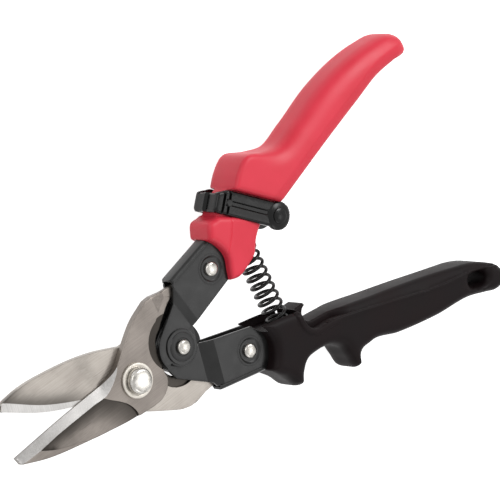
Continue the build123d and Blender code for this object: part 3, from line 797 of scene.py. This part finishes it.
for side, way in ((1, "upper"), (-1, "lower")):
    shells = join(plate(side, side, OUTER_EAR), plate(side, -side, INNER_EAR), folded_back(side))
    made = add_object(way + "_frame_pressing", tidy(shells, 16), [black_oxide],
                      way + "_handle", [way + "_frame"])
    print(made.name, len(made.data.polygons), "faces")

# %% [markdown]
# ## Blades
# The near blade has a broad bevel along its cutting edge and a hollow-ground cheek that ends
# in an arc against the thick boss. The far blade shows its flat inner face, hollow ground but
# for a narrow bright land at the edge, and its steel is ground finer and lighter. Real grinding
# leaves crisp lines between these faces, so each line is laid out as its own row of points.

# %% Near blade
EDGE_LAND = 0.7
BLADE_FRONT = 3.05
INNER_FACE = 0.05
SWUNG = 10.09                                     # each blade turns this far as the jaws close
CLOSED_CENTER = ray((0, 0), SWUNG, 22.28)
WEB_RADIUS = 11.6      # the blade is thinned to a web this near to the centre rivet
TANG_EDGE = [(26.5, 16.6), (31.0, 19.2), (45.5, 16.4), (45.5, 22.2), (34.0, 22.9), (27.6, 23.3),
             (21.8, 24.5), (18.5, 24.4)]
THICK_EDGE = [(17.87, 13.96), (20.5, 16.7), (27.6, 20.7), (31.0, 19.2)]
RAMP_START = 21.6      # the tang is ground down from here
RAMP_END = 27.6
BOLT_HOLE = 4.02
WEB_FRONT = 1.75                                  # the thin web that runs in under the ears
scoop = arc(CLOSED_CENTER, 7.2, 214, 112, 0.7)
web_arc = arc(CLOSED_CENTER, WEB_RADIUS, 225, 60, 0.6)
tang_run = straight([tuple(scoop[-1]), *TANG_EDGE])
thin_area = np.array(THICK_EDGE + [(30.0, 14.0), (19.0, 7.0)])
near_edge = curve([(-15.0, 6.5), (-38.0, 5.5), (-61.0, 3.9)], 0.9)
near_outline = closed(
    near_edge, curve([(-61.0, 3.9), (-60.2, 0.7)], 0.5),
    curve([(-60.2, 0.7), (-50.0, -3.4), (-30.0, -8.3), (-10.0, -12.3), (2.0, -13.4)]),
    curve([(2.0, -13.4), (6.0, -13.2), (9.6, -11.6), (12.0, -9.2), (13.0, -7.0), (12.9, -4.0),
           (13.5, -2.9)]),
    curve([(13.5, -2.9), tuple(scoop[0])], 0.5), scoop, tang_run,
    curve([TANG_EDGE[-1], (10.0, 20.8), (0.0, 13.6), (-6.5, 8.9), (-15.0, 6.5)]))
bevel_line = np.vstack([
    curve([(-60.4, 0.8), (-50.7, 0.8)]),
    curve([(-50.7, 0.8), (-45.7, 1.3), (-40.2, 1.8), (-33.7, 2.1), (-27.3, 2.3),
           (-22.1, 2.5), (-13.8, 2.8), (-10.5, 4.5), (-6.8, 7.4), (-4.0, 11.5)])])
bevel_area = np.vstack([bevel_line, [(-4, 16), (-70, 16), (-70, 0.8)]])
hollow_arc = curve([(-16.8, 2.6), (-13.6, -0.4), (-10.7, -2.9), (-7.5, -6.6), (-6.1, -9.8),
                    (-5.6, -14)], 0.6)
hollow_low = curve([(-50.7, 0.8), (-45.1, -2.4), (-38.7, -4.9), (-31.8, -7.2), (-26.0, -10.4)])
hollow_area = np.vstack([[(-50.7, 0.8), (-50.7, 4), (-16.8, 4)], hollow_arc,
                         [(-6, -20), (-26, -20)], hollow_low[::-1]])


def ramp(points):
    """How far the tang has been ground down, from 0 at the boss to 1.2 in the channel."""
    return 1.2 * np.clip((points[:, 0] - RAMP_START) / (RAMP_END - RAMP_START), 0, 1)


def under_ear(points, side=1):
    """Which points of a blade belong to the web that runs in under the frame's ears."""
    return np.hypot(*(points * (1, side) - CLOSED_CENTER).T) < WEB_RADIUS - 0.02


def near_back(points, rim_in):
    """Inner face of the near blade: flat, but for the web under the ears."""
    return np.where(under_ear(points), 1.32, INNER_FACE)


def near_front(points, rim_in):
    """Outer face of the near blade."""
    thin = under_ear(points) | within(points, thin_area)
    level = np.where(thin, WEB_FRONT, BLADE_FRONT - ramp(points))
    to_edge = distance(points, np.vstack([near_edge, [(-61.2, 1.0)]]), False)
    share = to_edge / np.maximum(to_edge + distance(points, bevel_line, False), 1e-6)
    bevel = INNER_FACE + EDGE_LAND + (BLADE_FRONT - INNER_FACE - EDGE_LAND) * share
    on_bevel = within(points, bevel_area)
    from_rim = np.minimum(distance(points, bevel_line, False), distance(points, hollow_low, False))
    bowl = 0.12 + 0.8 * eased(from_rim / 8)
    in_hollow = within(points, hollow_area) & ~on_bevel
    ease = rim(np.where(on_bevel, 9, rim_in), 0.45)
    return np.where(on_bevel, bevel, np.where(in_hollow, level - bowl, level)) - ease


def steel_faces(mesh, test):
    """Gives faces that pass a test on centre and normal the second material."""
    centres = np.array([face.center[:] for face in mesh.polygons]) / MM
    normals = np.array([face.normal[:] for face in mesh.polygons])
    mesh.polygons.foreach_set("material_index", test(centres, normals).astype(np.int32))


bolt_hole = arc((0, 0), BOLT_HOLE, 0, 360, 0.5)[:-1]
CREASE = (-0.05, 0.05)
web_steps = [(web_arc, CREASE)]
web_steps += [(curve(pair, 0.6), CREASE) for pair in zip(THICK_EDGE, THICK_EDGE[1:])]
ramp_steps = [(curve([(RAMP_START, 10), (RAMP_START, 26)]), (0,)),
              (curve([(RAMP_END, 14), (RAMP_END, 26)]), (0,))]
near_steps = [(bevel_line, CREASE), (hollow_arc, (-0.07, 0.07)), (hollow_low, CREASE)]
near_mesh = tidy(slab(near_outline, near_front, near_back, holes=[bolt_hole],
                      steps=web_steps + near_steps + ramp_steps,
                      spacing=1.5, rings=(0.1, 0.25, 0.45)), 6)
add_object("near_blade_forging", near_mesh, [blade_steel, edge_steel], "near_blade",
           ["lower_blade"])
steel_faces(near_mesh, lambda c, n: (n[:, 2] > 0.2) & within(c[:, :2], bevel_area))


def near_painted_light(points, level):
    """Painted shade on the near blade: dark reflections beside the bevel and against the arc, none
    along the lower edge of the hollow, a darker bevel towards the tip, and painted shadow on the
    web under the ears.
    """
    beside_bevel = 0.80 * np.exp(-(distance(points, bevel_line, False) / 4.0) ** 2)
    beside_tip = 0.88 * np.exp(-(distance(points, hollow_low[:8], False) / 3.0) ** 2)
    beside_arc = 0.70 * eased(1 - distance(points, hollow_arc, False) / 13)
    on_bevel = within(points, bevel_area)
    hollow = within(points, hollow_area) & ~on_bevel & (level > 0.3)
    shade = np.where(hollow, 0.1 + np.maximum(np.maximum(beside_bevel, beside_arc), beside_tip),
                     0.3 * on_bevel * eased((-30 - points[:, 0]) / 18))
    # painted shadow on the web that runs in under the frame's ears
    return np.where(under_ear(points), 0.1, 1 - shade)


painted_light(near_mesh, near_painted_light)
print("near blade:", len(near_mesh.polygons), "faces")

# %% Far blade
far_edge = curve([(-56.9, 22.0), (-40.0, 11.2), (-24.0, 4.2), (-15.0, 0.9)], 0.8)
far_outline = closed(
    curve([(10.0, -20.8), (0.0, -14.8), (-8.5, -9.0), (-12.5, -3.5), (-15.0, 0.9)]), far_edge[::-1],
    curve([(-56.9, 22.0), (-55.8, 24.4)], 0.5),
    curve([(-55.8, 24.4), (-46.0, 25.3), (-30.0, 23.7), (-10.0, 19.0), (2.0, 14.0)]),
    curve([(2.0, 14.0), (6.0, 13.6), (9.6, 11.6), (12.0, 9.2), (13.0, 7.0), (12.9, 4.0),
           (13.5, 2.9)]),
    curve([(13.5, 2.9), tuple(mirrored(scoop, -1)[0])], 0.5), mirrored(scoop, -1),
    mirrored(tang_run, -1), mirrored(curve([TANG_EDGE[-1], (14.5, 23.2), (10.0, 20.8)]), -1))
BEVEL_WIDTH = 4.2
LOOSE_HOLE = 4.35      # stands clear of the bolt, because the two pivots drift a little
land_width = 1.6 + 1.9 * np.clip((-18 - far_edge[:, :1]) / 36, 0, 1)
land_line = beside(far_edge, land_width, False)
land_area = np.vstack([beside(far_edge, -2, False), land_line[::-1]])


def far_front(points, rim_in):
    """Inner face of the far blade: flat at the pivot, hollow ground along the jaw."""
    from_edge = distance(points, far_edge, False)
    jaw = eased((-12 - points[:, 0]) / 8)
    hollow = 0.5 * eased(distance(points, land_line, False) / 7) * jaw * ~within(points, land_area)
    face = -INNER_FACE - hollow - rim(np.where(from_edge < rim_in + 0.1, 9, rim_in), 0.5)
    return np.where(under_ear(points, -1), -1.32, face)


def far_back(points, rim_in):
    """Outer face of the far blade, with its bevel and its ramp."""
    from_edge = distance(points, far_edge, False)
    bevel = np.clip(1 - from_edge / BEVEL_WIDTH, 0, 1) * (BLADE_FRONT - INNER_FACE - EDGE_LAND)
    thin = under_ear(points, -1) | within(points * (1, -1), thin_area)
    return np.where(thin, -WEB_FRONT, -BLADE_FRONT + ramp(points) + bevel)


def flipped(steps):
    """The same lines on the other side of the tool."""
    return [(mirrored(line, -1), offsets) for line, offsets in steps]


loose_hole = arc((0, 0), LOOSE_HOLE, 0, 360, 0.5)[:-1]
far_steps = [(far_edge, (BEVEL_WIDTH,)), (land_line, CREASE)]
far_mesh = tidy(slab(far_outline, far_front, far_back, holes=[loose_hole],
                     steps=flipped(web_steps) + far_steps + flipped(ramp_steps),
                     spacing=1.5, rings=(0.1, 0.3)), 6)
add_object("far_blade_forging", far_mesh, [face_steel, edge_steel], "far_blade",
           ["upper_blade"])
steel_faces(far_mesh, lambda c, n: (c[:, 0] < -13) & (abs(n[:, 2]) > 0.5) & np.where(
    n[:, 2] > 0, within(c[:, :2], land_area), distance(c[:, :2], far_edge, False) < BEVEL_WIDTH))


def far_painted_light(points, level):
    """Painted shade on the far blade: dark beside the bright land and towards the tip, none near
    the pivot, and painted shadow on the web under the ears.
    """
    beside_land = 0.75 * np.exp(-(distance(points, land_line, False) / 4.0) ** 2)
    at_tip = 0.8 * eased((-points[:, 0] - 38) / 16)
    dark = np.maximum(beside_land * eased((-points[:, 0] - 12) / 20), at_tip)
    face = (level > -1) & (points[:, 0] < -12) & ~within(points, land_area)
    # painted shadow on the web that runs in under the frame's ears
    return np.where(under_ear(points, -1), 0.1, np.where(face, 1 - dark, 1))


painted_light(far_mesh, far_painted_light)
print("far blade:", len(far_mesh.polygons), "faces")

# %% [markdown]
# ## Latch
# The latch is a strip bent into a loop round the red grip's neck. A groove runs along each
# arm and two short ones cross it, its rims are rounded, and it ends in two round eyes that
# carry the cross bar. The other end grows narrower, and its wall has a small thumb rib. The
# arms are slabs, and the end wall is a tube with a shaped section.

# %% Latch loop
ARM_INNER = 5.5
ARM_OUTER = 7.7
ARM_HALF_WIDTH = 5.0
EYE_RADIUS = 5.8
LOOP_END = 6.3
LOOP_WALL = 2.3
BEND_START = -1.0      # the loop's end grows narrower from here on
END_TOP = 2.6          # and its wall reaches this far towards the grip's body
arm_dir = np.array([cos(radians(LATCH_SLOPE)), sin(radians(LATCH_SLOPE))])
arm_across = np.array([-arm_dir[1], arm_dir[0]])
REACH = 25.5


def on_arm(along, across):
    """A point of the blade plane from distances along and across the latch arm."""
    return tuple(np.array(LATCH_PIN) + arm_dir * along + arm_across * across)


lead = sqrt(EYE_RADIUS ** 2 - ARM_HALF_WIDTH ** 2)
eye_turn = degrees(atan2(ARM_HALF_WIDTH, -lead))
arm_outline = closed(
    curve([on_arm(-LOOP_END + 0.8, -ARM_HALF_WIDTH), on_arm(REACH - lead, -ARM_HALF_WIDTH)]),
    arc(LATCH_BAR, EYE_RADIUS, LATCH_SLOPE - eye_turn, LATCH_SLOPE + eye_turn, 0.5),
    curve([on_arm(REACH - lead, ARM_HALF_WIDTH), on_arm(BEND_START, ARM_HALF_WIDTH)]),
    curve([on_arm(BEND_START, ARM_HALF_WIDTH), on_arm(-LOOP_END + 0.8, END_TOP + 0.6)], 0.5),
    curve([on_arm(-LOOP_END + 0.8, END_TOP + 0.6), on_arm(-LOOP_END, END_TOP)], 0.3),
    curve([on_arm(-LOOP_END, END_TOP), on_arm(-LOOP_END, -ARM_HALF_WIDTH + 0.8)]))
middle = curve([on_arm(-LOOP_END + 4.6, 0), on_arm(REACH - EYE_RADIUS - 0.6, 0)])
cross_groove = curve([on_arm(-LOOP_END + 3.4, 7), on_arm(-LOOP_END + 3.4, -7)])


def arm_front(points, rim_in):
    """Outside of a latch arm: two rails with a groove between, and a domed eye."""
    along = (points - np.array(LATCH_PIN)) @ arm_dir
    across = (points - np.array(LATCH_PIN)) @ arm_across
    reach = np.hypot(*(points - np.array(LATCH_BAR)).T)
    rails = 0.75 * np.clip((1.15 - np.abs(across)) / 0.55, 0, 1) * (along < REACH - EYE_RADIUS)
    rails = rails * np.clip((along + LOOP_END - 7.0) / 0.6, 0, 1)
    notch = 0.9 * np.clip((0.75 - np.abs(along + LOOP_END - 3.4)) / 0.35, 0, 1) + 0.9 * np.clip(
        (0.75 - np.abs(along + LOOP_END - 6.0)) / 0.35, 0, 1)
    dome = 1.5 * np.sqrt(np.clip(1 - (reach / EYE_RADIUS) ** 2, 0, 1)) - 0.5
    strip = ARM_OUTER - rails - notch - rim(rim_in, 1.1)
    eye = ARM_OUTER - 0.9 + dome
    return np.where(reach < EYE_RADIUS, np.maximum(eye, ARM_INNER + 0.4), strip)


ARM_STEPS = [(middle, (-1.2, -1.1, -0.6, 0, 0.6, 1.1, 1.2)),
             (cross_groove, (-0.8, -0.4, 0.4, 0.8, 1.8, 2.2, 3.0, 3.4)),
             (arc(LATCH_BAR, EYE_RADIUS, LATCH_SLOPE + 120, LATCH_SLOPE + 240, 0.5), (0.1, -0.1))]
front_arm = slab(arm_outline, arm_front, lambda p, d: ARM_INNER + 0 * d, steps=ARM_STEPS,
                 spacing=1.1, rings=(0.08, 0.25, 0.5, 0.8, 1.1))
back_arm = slab(arm_outline, lambda p, d: -ARM_INNER + 0 * d, lambda p, d: -arm_front(p, d),
                steps=ARM_STEPS, spacing=1.1, rings=(0.08, 0.25, 0.5, 0.8, 1.1))


def end_wall():
    """The loop's end wall, a rounded bar with a thumb rib along its middle."""
    section = [(0.02, -6.4), (0.02, -1.3), (-1.3, -0.7), (-1.3, 0.7), (0.02, 1.3), (0.02, 6.4),
               (LOOP_WALL, 6.4), (LOOP_WALL, -6.4)]
    cuts = [(-ARM_HALF_WIDTH + 0.15, 0.5), (-ARM_HALF_WIDTH + 0.9, 0), (END_TOP - 0.6, 0),
            (END_TOP + 0.1, 0.5)]
    rings = []
    for across, inset in cuts:
        ring = []
        for along, level in section:
            x, y = on_arm(min(along - LOOP_END + inset, LOOP_WALL - LOOP_END), across)
            ring.append((x * MM, y * MM, (MID + level) * MM))
        rings.append(ring)
    return tube("wall", rings)


latch_loop = add_object("latch_loop_strip", tidy(join(front_arm, back_arm, end_wall()), 28),
                        [latch_black], "latch_loop", ["latch"])
print("latch:", len(latch_loop.data.polygons), "faces")

# %% [markdown]
# ## Return spring
# The spring is music wire, 1.4 mm thick, wound open with its last turn at each end closed flat so
# that it sits square on its seat. The mechanical model has a plain sleeve in its place. The wire is
# a ring swept along a helix whose pitch shrinks at the ends.

# %% Return spring
WIRE = 0.70            # radius of the wire
COIL_RADIUS = 4.4
SPRING_TOP = 20.0
SPRING_LOW = -20.0
COILS = 11.5
TURN_STEPS = 40
WIRE_SIDES = 12
spots = []
for i in range(int(COILS * TURN_STEPS) + 1):
    share = i / (COILS * TURN_STEPS)
    flat = 1.0 / COILS
    open_share = np.clip((share - flat) / (1 - 2 * flat), 0, 1)
    closed_turns = 1.4 * (min(share / flat, 1) + np.clip((share - 1 + flat) / flat, 0, 1))
    open_length = SPRING_TOP - SPRING_LOW - 2 * WIRE - 2.8
    height = SPRING_TOP - WIRE - closed_turns - open_length * open_share
    angle = 2 * pi * COILS * share + radians(200)
    spots.append((SPRING_X + COIL_RADIUS * cos(angle), height, MID + COIL_RADIUS * sin(angle)))
spots = np.array(spots)
rings = []
for i, spot in enumerate(spots):
    run = Vector(spots[min(i + 1, len(spots) - 1)] - spots[max(i - 1, 0)]).normalized()
    outward = Vector((spot[0] - SPRING_X, 0, spot[2] - MID)).normalized()
    side_way = run.cross(outward).normalized()
    outward = side_way.cross(run)
    small = WIRE * (0.75 if i in (0, len(spots) - 1) else 1)
    rings.append([(Vector(spot) + small * (cos(a) * outward + sin(a) * side_way)) * MM
                  for a in np.linspace(0, 2 * pi, WIRE_SIDES, endpoint=False)])
spring = add_object("return_spring_wire", tidy(tube("wire", rings)), [spring_black], None)
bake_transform(spring)
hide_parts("spring")
print("spring wire length about", round(2 * pi * COIL_RADIUS * COILS), "mm")

# %% [markdown]
# ## Bolt, nut and rivets
# Bolts, washers and rivets are all lathe shapes: a profile spun about an axis. The bolt head
# and the rivet heads are slightly domed, which is what gives them a bright middle and a dark
# rim. The nut is a hexagon with its corners turned off, and the discs beside the centre rivet
# have a step near their rim.

# %% Bolt, nut, washers
bolt_profile = [(HUB, 7.05), (2.0, 7.04), (3.6, 6.99), (4.15, 6.9), (4.6, 6.65), (5.0, 6.2),
                (5.2, 5.6), (5.2, 4.15), (4.0, 4.15), (4.0, -9.85), (3.65, -10.2), (HUB, -10.2)]
flange_profile = [(BOLT_HOLE, 3.05), (7.1, 3.05), (7.1, 3.75), (6.9, 4.05), (6.5, 4.15),
                  (5.9, 4.1), (5.6, 3.95), (BOLT_HOLE, 3.95)]
washer_profile = [(BOLT_HOLE, -3.1), (6.6, -3.1), (6.6, -3.85), (6.495, -4.095), (6.25, -4.2),
                  (BOLT_HOLE, -4.2)]
HEX_HALF = 6.4
corners = [ray((0, 0), 30 + 60 * k, HEX_HALF / cos(radians(30))) for k in range(6)]
hexagon = closed(*[curve([a, b], 0.7) for a, b in zip(corners, corners[1:] + corners[:1])])


def nut_back(points, rim_in):
    """The nut's outer face, with its six corners turned off to a cone."""
    reach = np.hypot(*points.T)
    return -9.1 + np.clip(reach - HEX_HALF + 0.25, 0, 2) * 0.6 + rim(reach - BOLT_HOLE, 0.5)


nut_mesh = slab(hexagon, lambda p, d: -4.2 - 0 * d, nut_back, holes=[bolt_hole],
                spacing=1.2, rings=(0.2, 0.5),
                steps=[(arc((0, 0), HEX_HALF - 0.25, 0, 360, 0.5), (-0.03, 0.03))])
SMOOTH = 30            # faces that meet at less than this many degrees are shaded as one
SOLID_PARTS = [
    ("pivot_bolt", turned_part(bolt_profile), zinc, "near_blade", "pivot_bolt", SMOOTH),
    ("pivot_flange", turned_part(flange_profile), flange_white, "near_blade",
     "pivot_flange_washer", SMOOTH),
    ("pivot_back_washer", turned_part(washer_profile), zinc, "near_blade",
     "pivot_back_washer", SMOOTH),
    ("pivot_nut", nut_mesh, zinc, "near_blade", "pivot_nut", 25),
]


SHANK_RADIUS = 2.2
HEAD_RADIUS = 2.95
HEAD_HEIGHT = 1.6


def rivet_profile(seat):
    """A rivet with a domed head on each side, as one profile of radius and level."""
    dome = [(1, 0), (1, 0.5), (0.94, 0.75), (0.82, 0.92), (0.68, 0.98)]
    head = [(HEAD_RADIUS * wide, seat + HEAD_HEIGHT * tall) for wide, tall in dome]
    head = [(SHANK_RADIUS, seat), *head, (HUB, seat + HEAD_HEIGHT)]
    return head[::-1] + [(radius, -level) for radius, level in head]


def disc_profile(face):
    """A disc on the blade plane's front (1) or back (-1) side, stepped near its rim."""
    steps = [(2.25, 3.15), (7.1, 3.15), (7.1, 3.6), (6.9, 3.8), (5.9, 3.8), (5.6, 4.1), (5.4, 4.15),
             (3.7, 4.15), (3.5, 3.95), (2.25, 3.95)]
    return [(r, face * level) for r, level in steps]


for label, body, place, seat in (("upper_tang_rivet", "upper_handle", TANG, 3.1),
                                 ("lower_tang_rivet", "lower_handle", (TANG[0], -TANG[1]), 3.1),
                                 ("center_rivet", "lower_handle", CENTER, 4.15)):
    mesh = turned_part(rivet_profile(seat), place, segments=48)
    SOLID_PARTS.append((label, mesh, zinc, body, label, SMOOTH))
for label, face in (("center_front_disc", 1), ("center_back_disc", -1)):
    mesh = turned_part(disc_profile(face), CENTER)
    SOLID_PARTS.append((label, mesh, black_oxide, "lower_handle", label, SMOOTH))
bar_profile = [(HUB, 8.2), (2.5, 8.2), (3.1, 7.9), (3.3, 7.4), (3.3, -7.4), (3.1, -7.9),
               (2.5, -8.2), (HUB, -8.2)]
pin_profile = [(HUB, 8.1), (1.2, 8.1), (1.5, 7.8), (1.5, -7.8), (1.2, -8.1), (HUB, -8.1)]
SOLID_PARTS += [
    ("latch_bar", turned_part(bar_profile, LATCH_BAR), latch_black, "latch_loop",
     "latch_bar", SMOOTH),
    ("latch_pin", turned_part(pin_profile, LATCH_PIN, segments=32), latch_black,
     "upper_handle", "latch_pin", SMOOTH),
]
for label, body, way in (("upper_spring_seat", "upper_handle", 1),
                         ("lower_spring_seat", "lower_handle", -1)):
    seat = SPRING_TOP if way > 0 else -SPRING_LOW
    profile = [(HUB, seat - 2.2), (2.9, seat - 2.2), (3.3, seat - 1.8), (3.3, seat), (5.2, seat),
               (5.5, seat + 0.3), (5.5, WELL_DEPTH), (HUB, WELL_DEPTH)]
    mesh = turned_part([(r, way * y) for r, y in profile], (SPRING_X, 0), "Y")
    SOLID_PARTS.append((label, mesh, black_oxide, body, label, SMOOTH))
for name, mesh, finish, body, label, angle in SOLID_PARTS:
    add_object(name + "_turned", tidy(mesh, angle), [finish], body, [label])
print("turned parts:", len(SOLID_PARTS))

# %% [markdown]
# ## Finishes on the mechanical pieces
# Pieces whose mechanical shape is already right only need a finish.

# %% Finish the plain pieces
FINISHES = {"upper_tang_bush": zinc, "lower_tang_bush": zinc,
            "center_front_spacer": black_oxide, "center_back_spacer": black_oxide}
for name, finish in FINISHES.items():
    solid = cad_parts[name]
    solid.data.materials.clear()
    solid.data.materials.append(finish)
print("finished", len(FINISHES), "mechanical pieces")

# %% [markdown]
# ## Floor and light
# The tool lies on a pale floor under plain studio softboxes. Light Path tells what kind of ray
# arrives: the camera, gloss and glass see the floor and the world as white, and the soft light
# that falls on the tool sees a darker world. So the background is white, and the black pieces
# don't get a white haze.

# %% Floor, world and lamps
FLOOR_HALF = 3.0
FLOOR_LEVEL = -0.0002
FLOOR_GLOW = 0.9
WORLD_LIGHT = 0.38
LAMPS = [
    ("key_softbox", (880, 360, 1060), (60, 0, 10), 500, 9.2),
    ("small_softbox", (620, -455, 1070), (30, 0, 15), 300, 0.9),
    ("side_softbox", (-200, -900, 900), (60, 0, 10), 500, 2.0),
    ("fill_softbox", (-500, 800, 700), (60, 0, 10), 600, 3.0),
]
floor_mesh = bpy.data.meshes.new("floor")
corners = [(x * FLOOR_HALF, y * FLOOR_HALF, FLOOR_LEVEL)
           for x, y in ((-1, -1), (1, -1), (1, 1), (-1, 1))]
floor_mesh.from_pydata(corners, [], [(0, 1, 2, 3)])
floor = bpy.data.objects.new("floor", floor_mesh)
bpy.context.scene.collection.objects.link(floor)


def seen_only(tree):
    """1 for rays from the camera, gloss and glass, 0 for the soft light on the object."""
    path = add_node(tree, "ShaderNodeLightPath").outputs
    seen = path["Is Camera Ray"]
    for ray_kind in ("Is Glossy Ray", "Is Transmission Ray"):
        seen = add_node(tree, "ShaderNodeMath", {0: seen, 1: path[ray_kind]},
                        operation="MAXIMUM").outputs[0]
    return seen


paper = bpy.data.materials.new("white_paper")
paper.use_nodes = True
tree = paper.node_tree
paper_shader = tree.nodes["Principled BSDF"]
paper_shader.inputs["Roughness"].default_value = 0.9
paper_shader.inputs["Specular IOR Level"].default_value = 0.0
fibres = mottle(tree, add_node(tree, "ShaderNodeTexCoord").outputs["Object"], 3, 3)
tree.links.new(shades(tree, fibres, "d4d4d4", "dcdcdc"), paper_shader.inputs["Base Color"])
glow = add_node(tree, "ShaderNodeMath", {0: seen_only(tree)}, {1: FLOOR_GLOW}, operation="MULTIPLY")
tree.links.new(glow.outputs[0], paper_shader.inputs["Emission Strength"])
paper_shader.inputs["Emission Color"].default_value = (1, 1, 1, 1)
floor_mesh.materials.append(paper)

world = bpy.data.worlds.new("studio")
bpy.context.scene.world = world
world.use_nodes = True
tree = world.node_tree
strength = add_node(tree, "ShaderNodeMapRange", {"Value": seen_only(tree)},
                    {"To Min": WORLD_LIGHT, "To Max": 1.0})
tree.links.new(strength.outputs[0], tree.nodes["Background"].inputs["Strength"])
tree.nodes["Background"].inputs["Color"].default_value = (1, 1, 1, 1)


def softbox(name, place, target, size, watts):
    """A square lamp at a place in millimetres, facing a target."""
    lamp = bpy.data.lights.new(name, "AREA")
    lamp.shape = "SQUARE"
    lamp.size = size * MM
    lamp.energy = watts
    holder = bpy.data.objects.new(name, lamp)
    bpy.context.scene.collection.objects.link(holder)
    aim = Vector(target) - Vector(place)
    holder.matrix_world = (Matrix.Translation(Vector(place) * MM)
                           @ aim.to_track_quat("-Z", "Y").to_matrix().to_4x4())


for lamp in LAMPS:
    softbox(*lamp)
bpy.context.scene.view_settings.view_transform = "Standard"
print("lamps:", [lamp[0] for lamp in LAMPS])
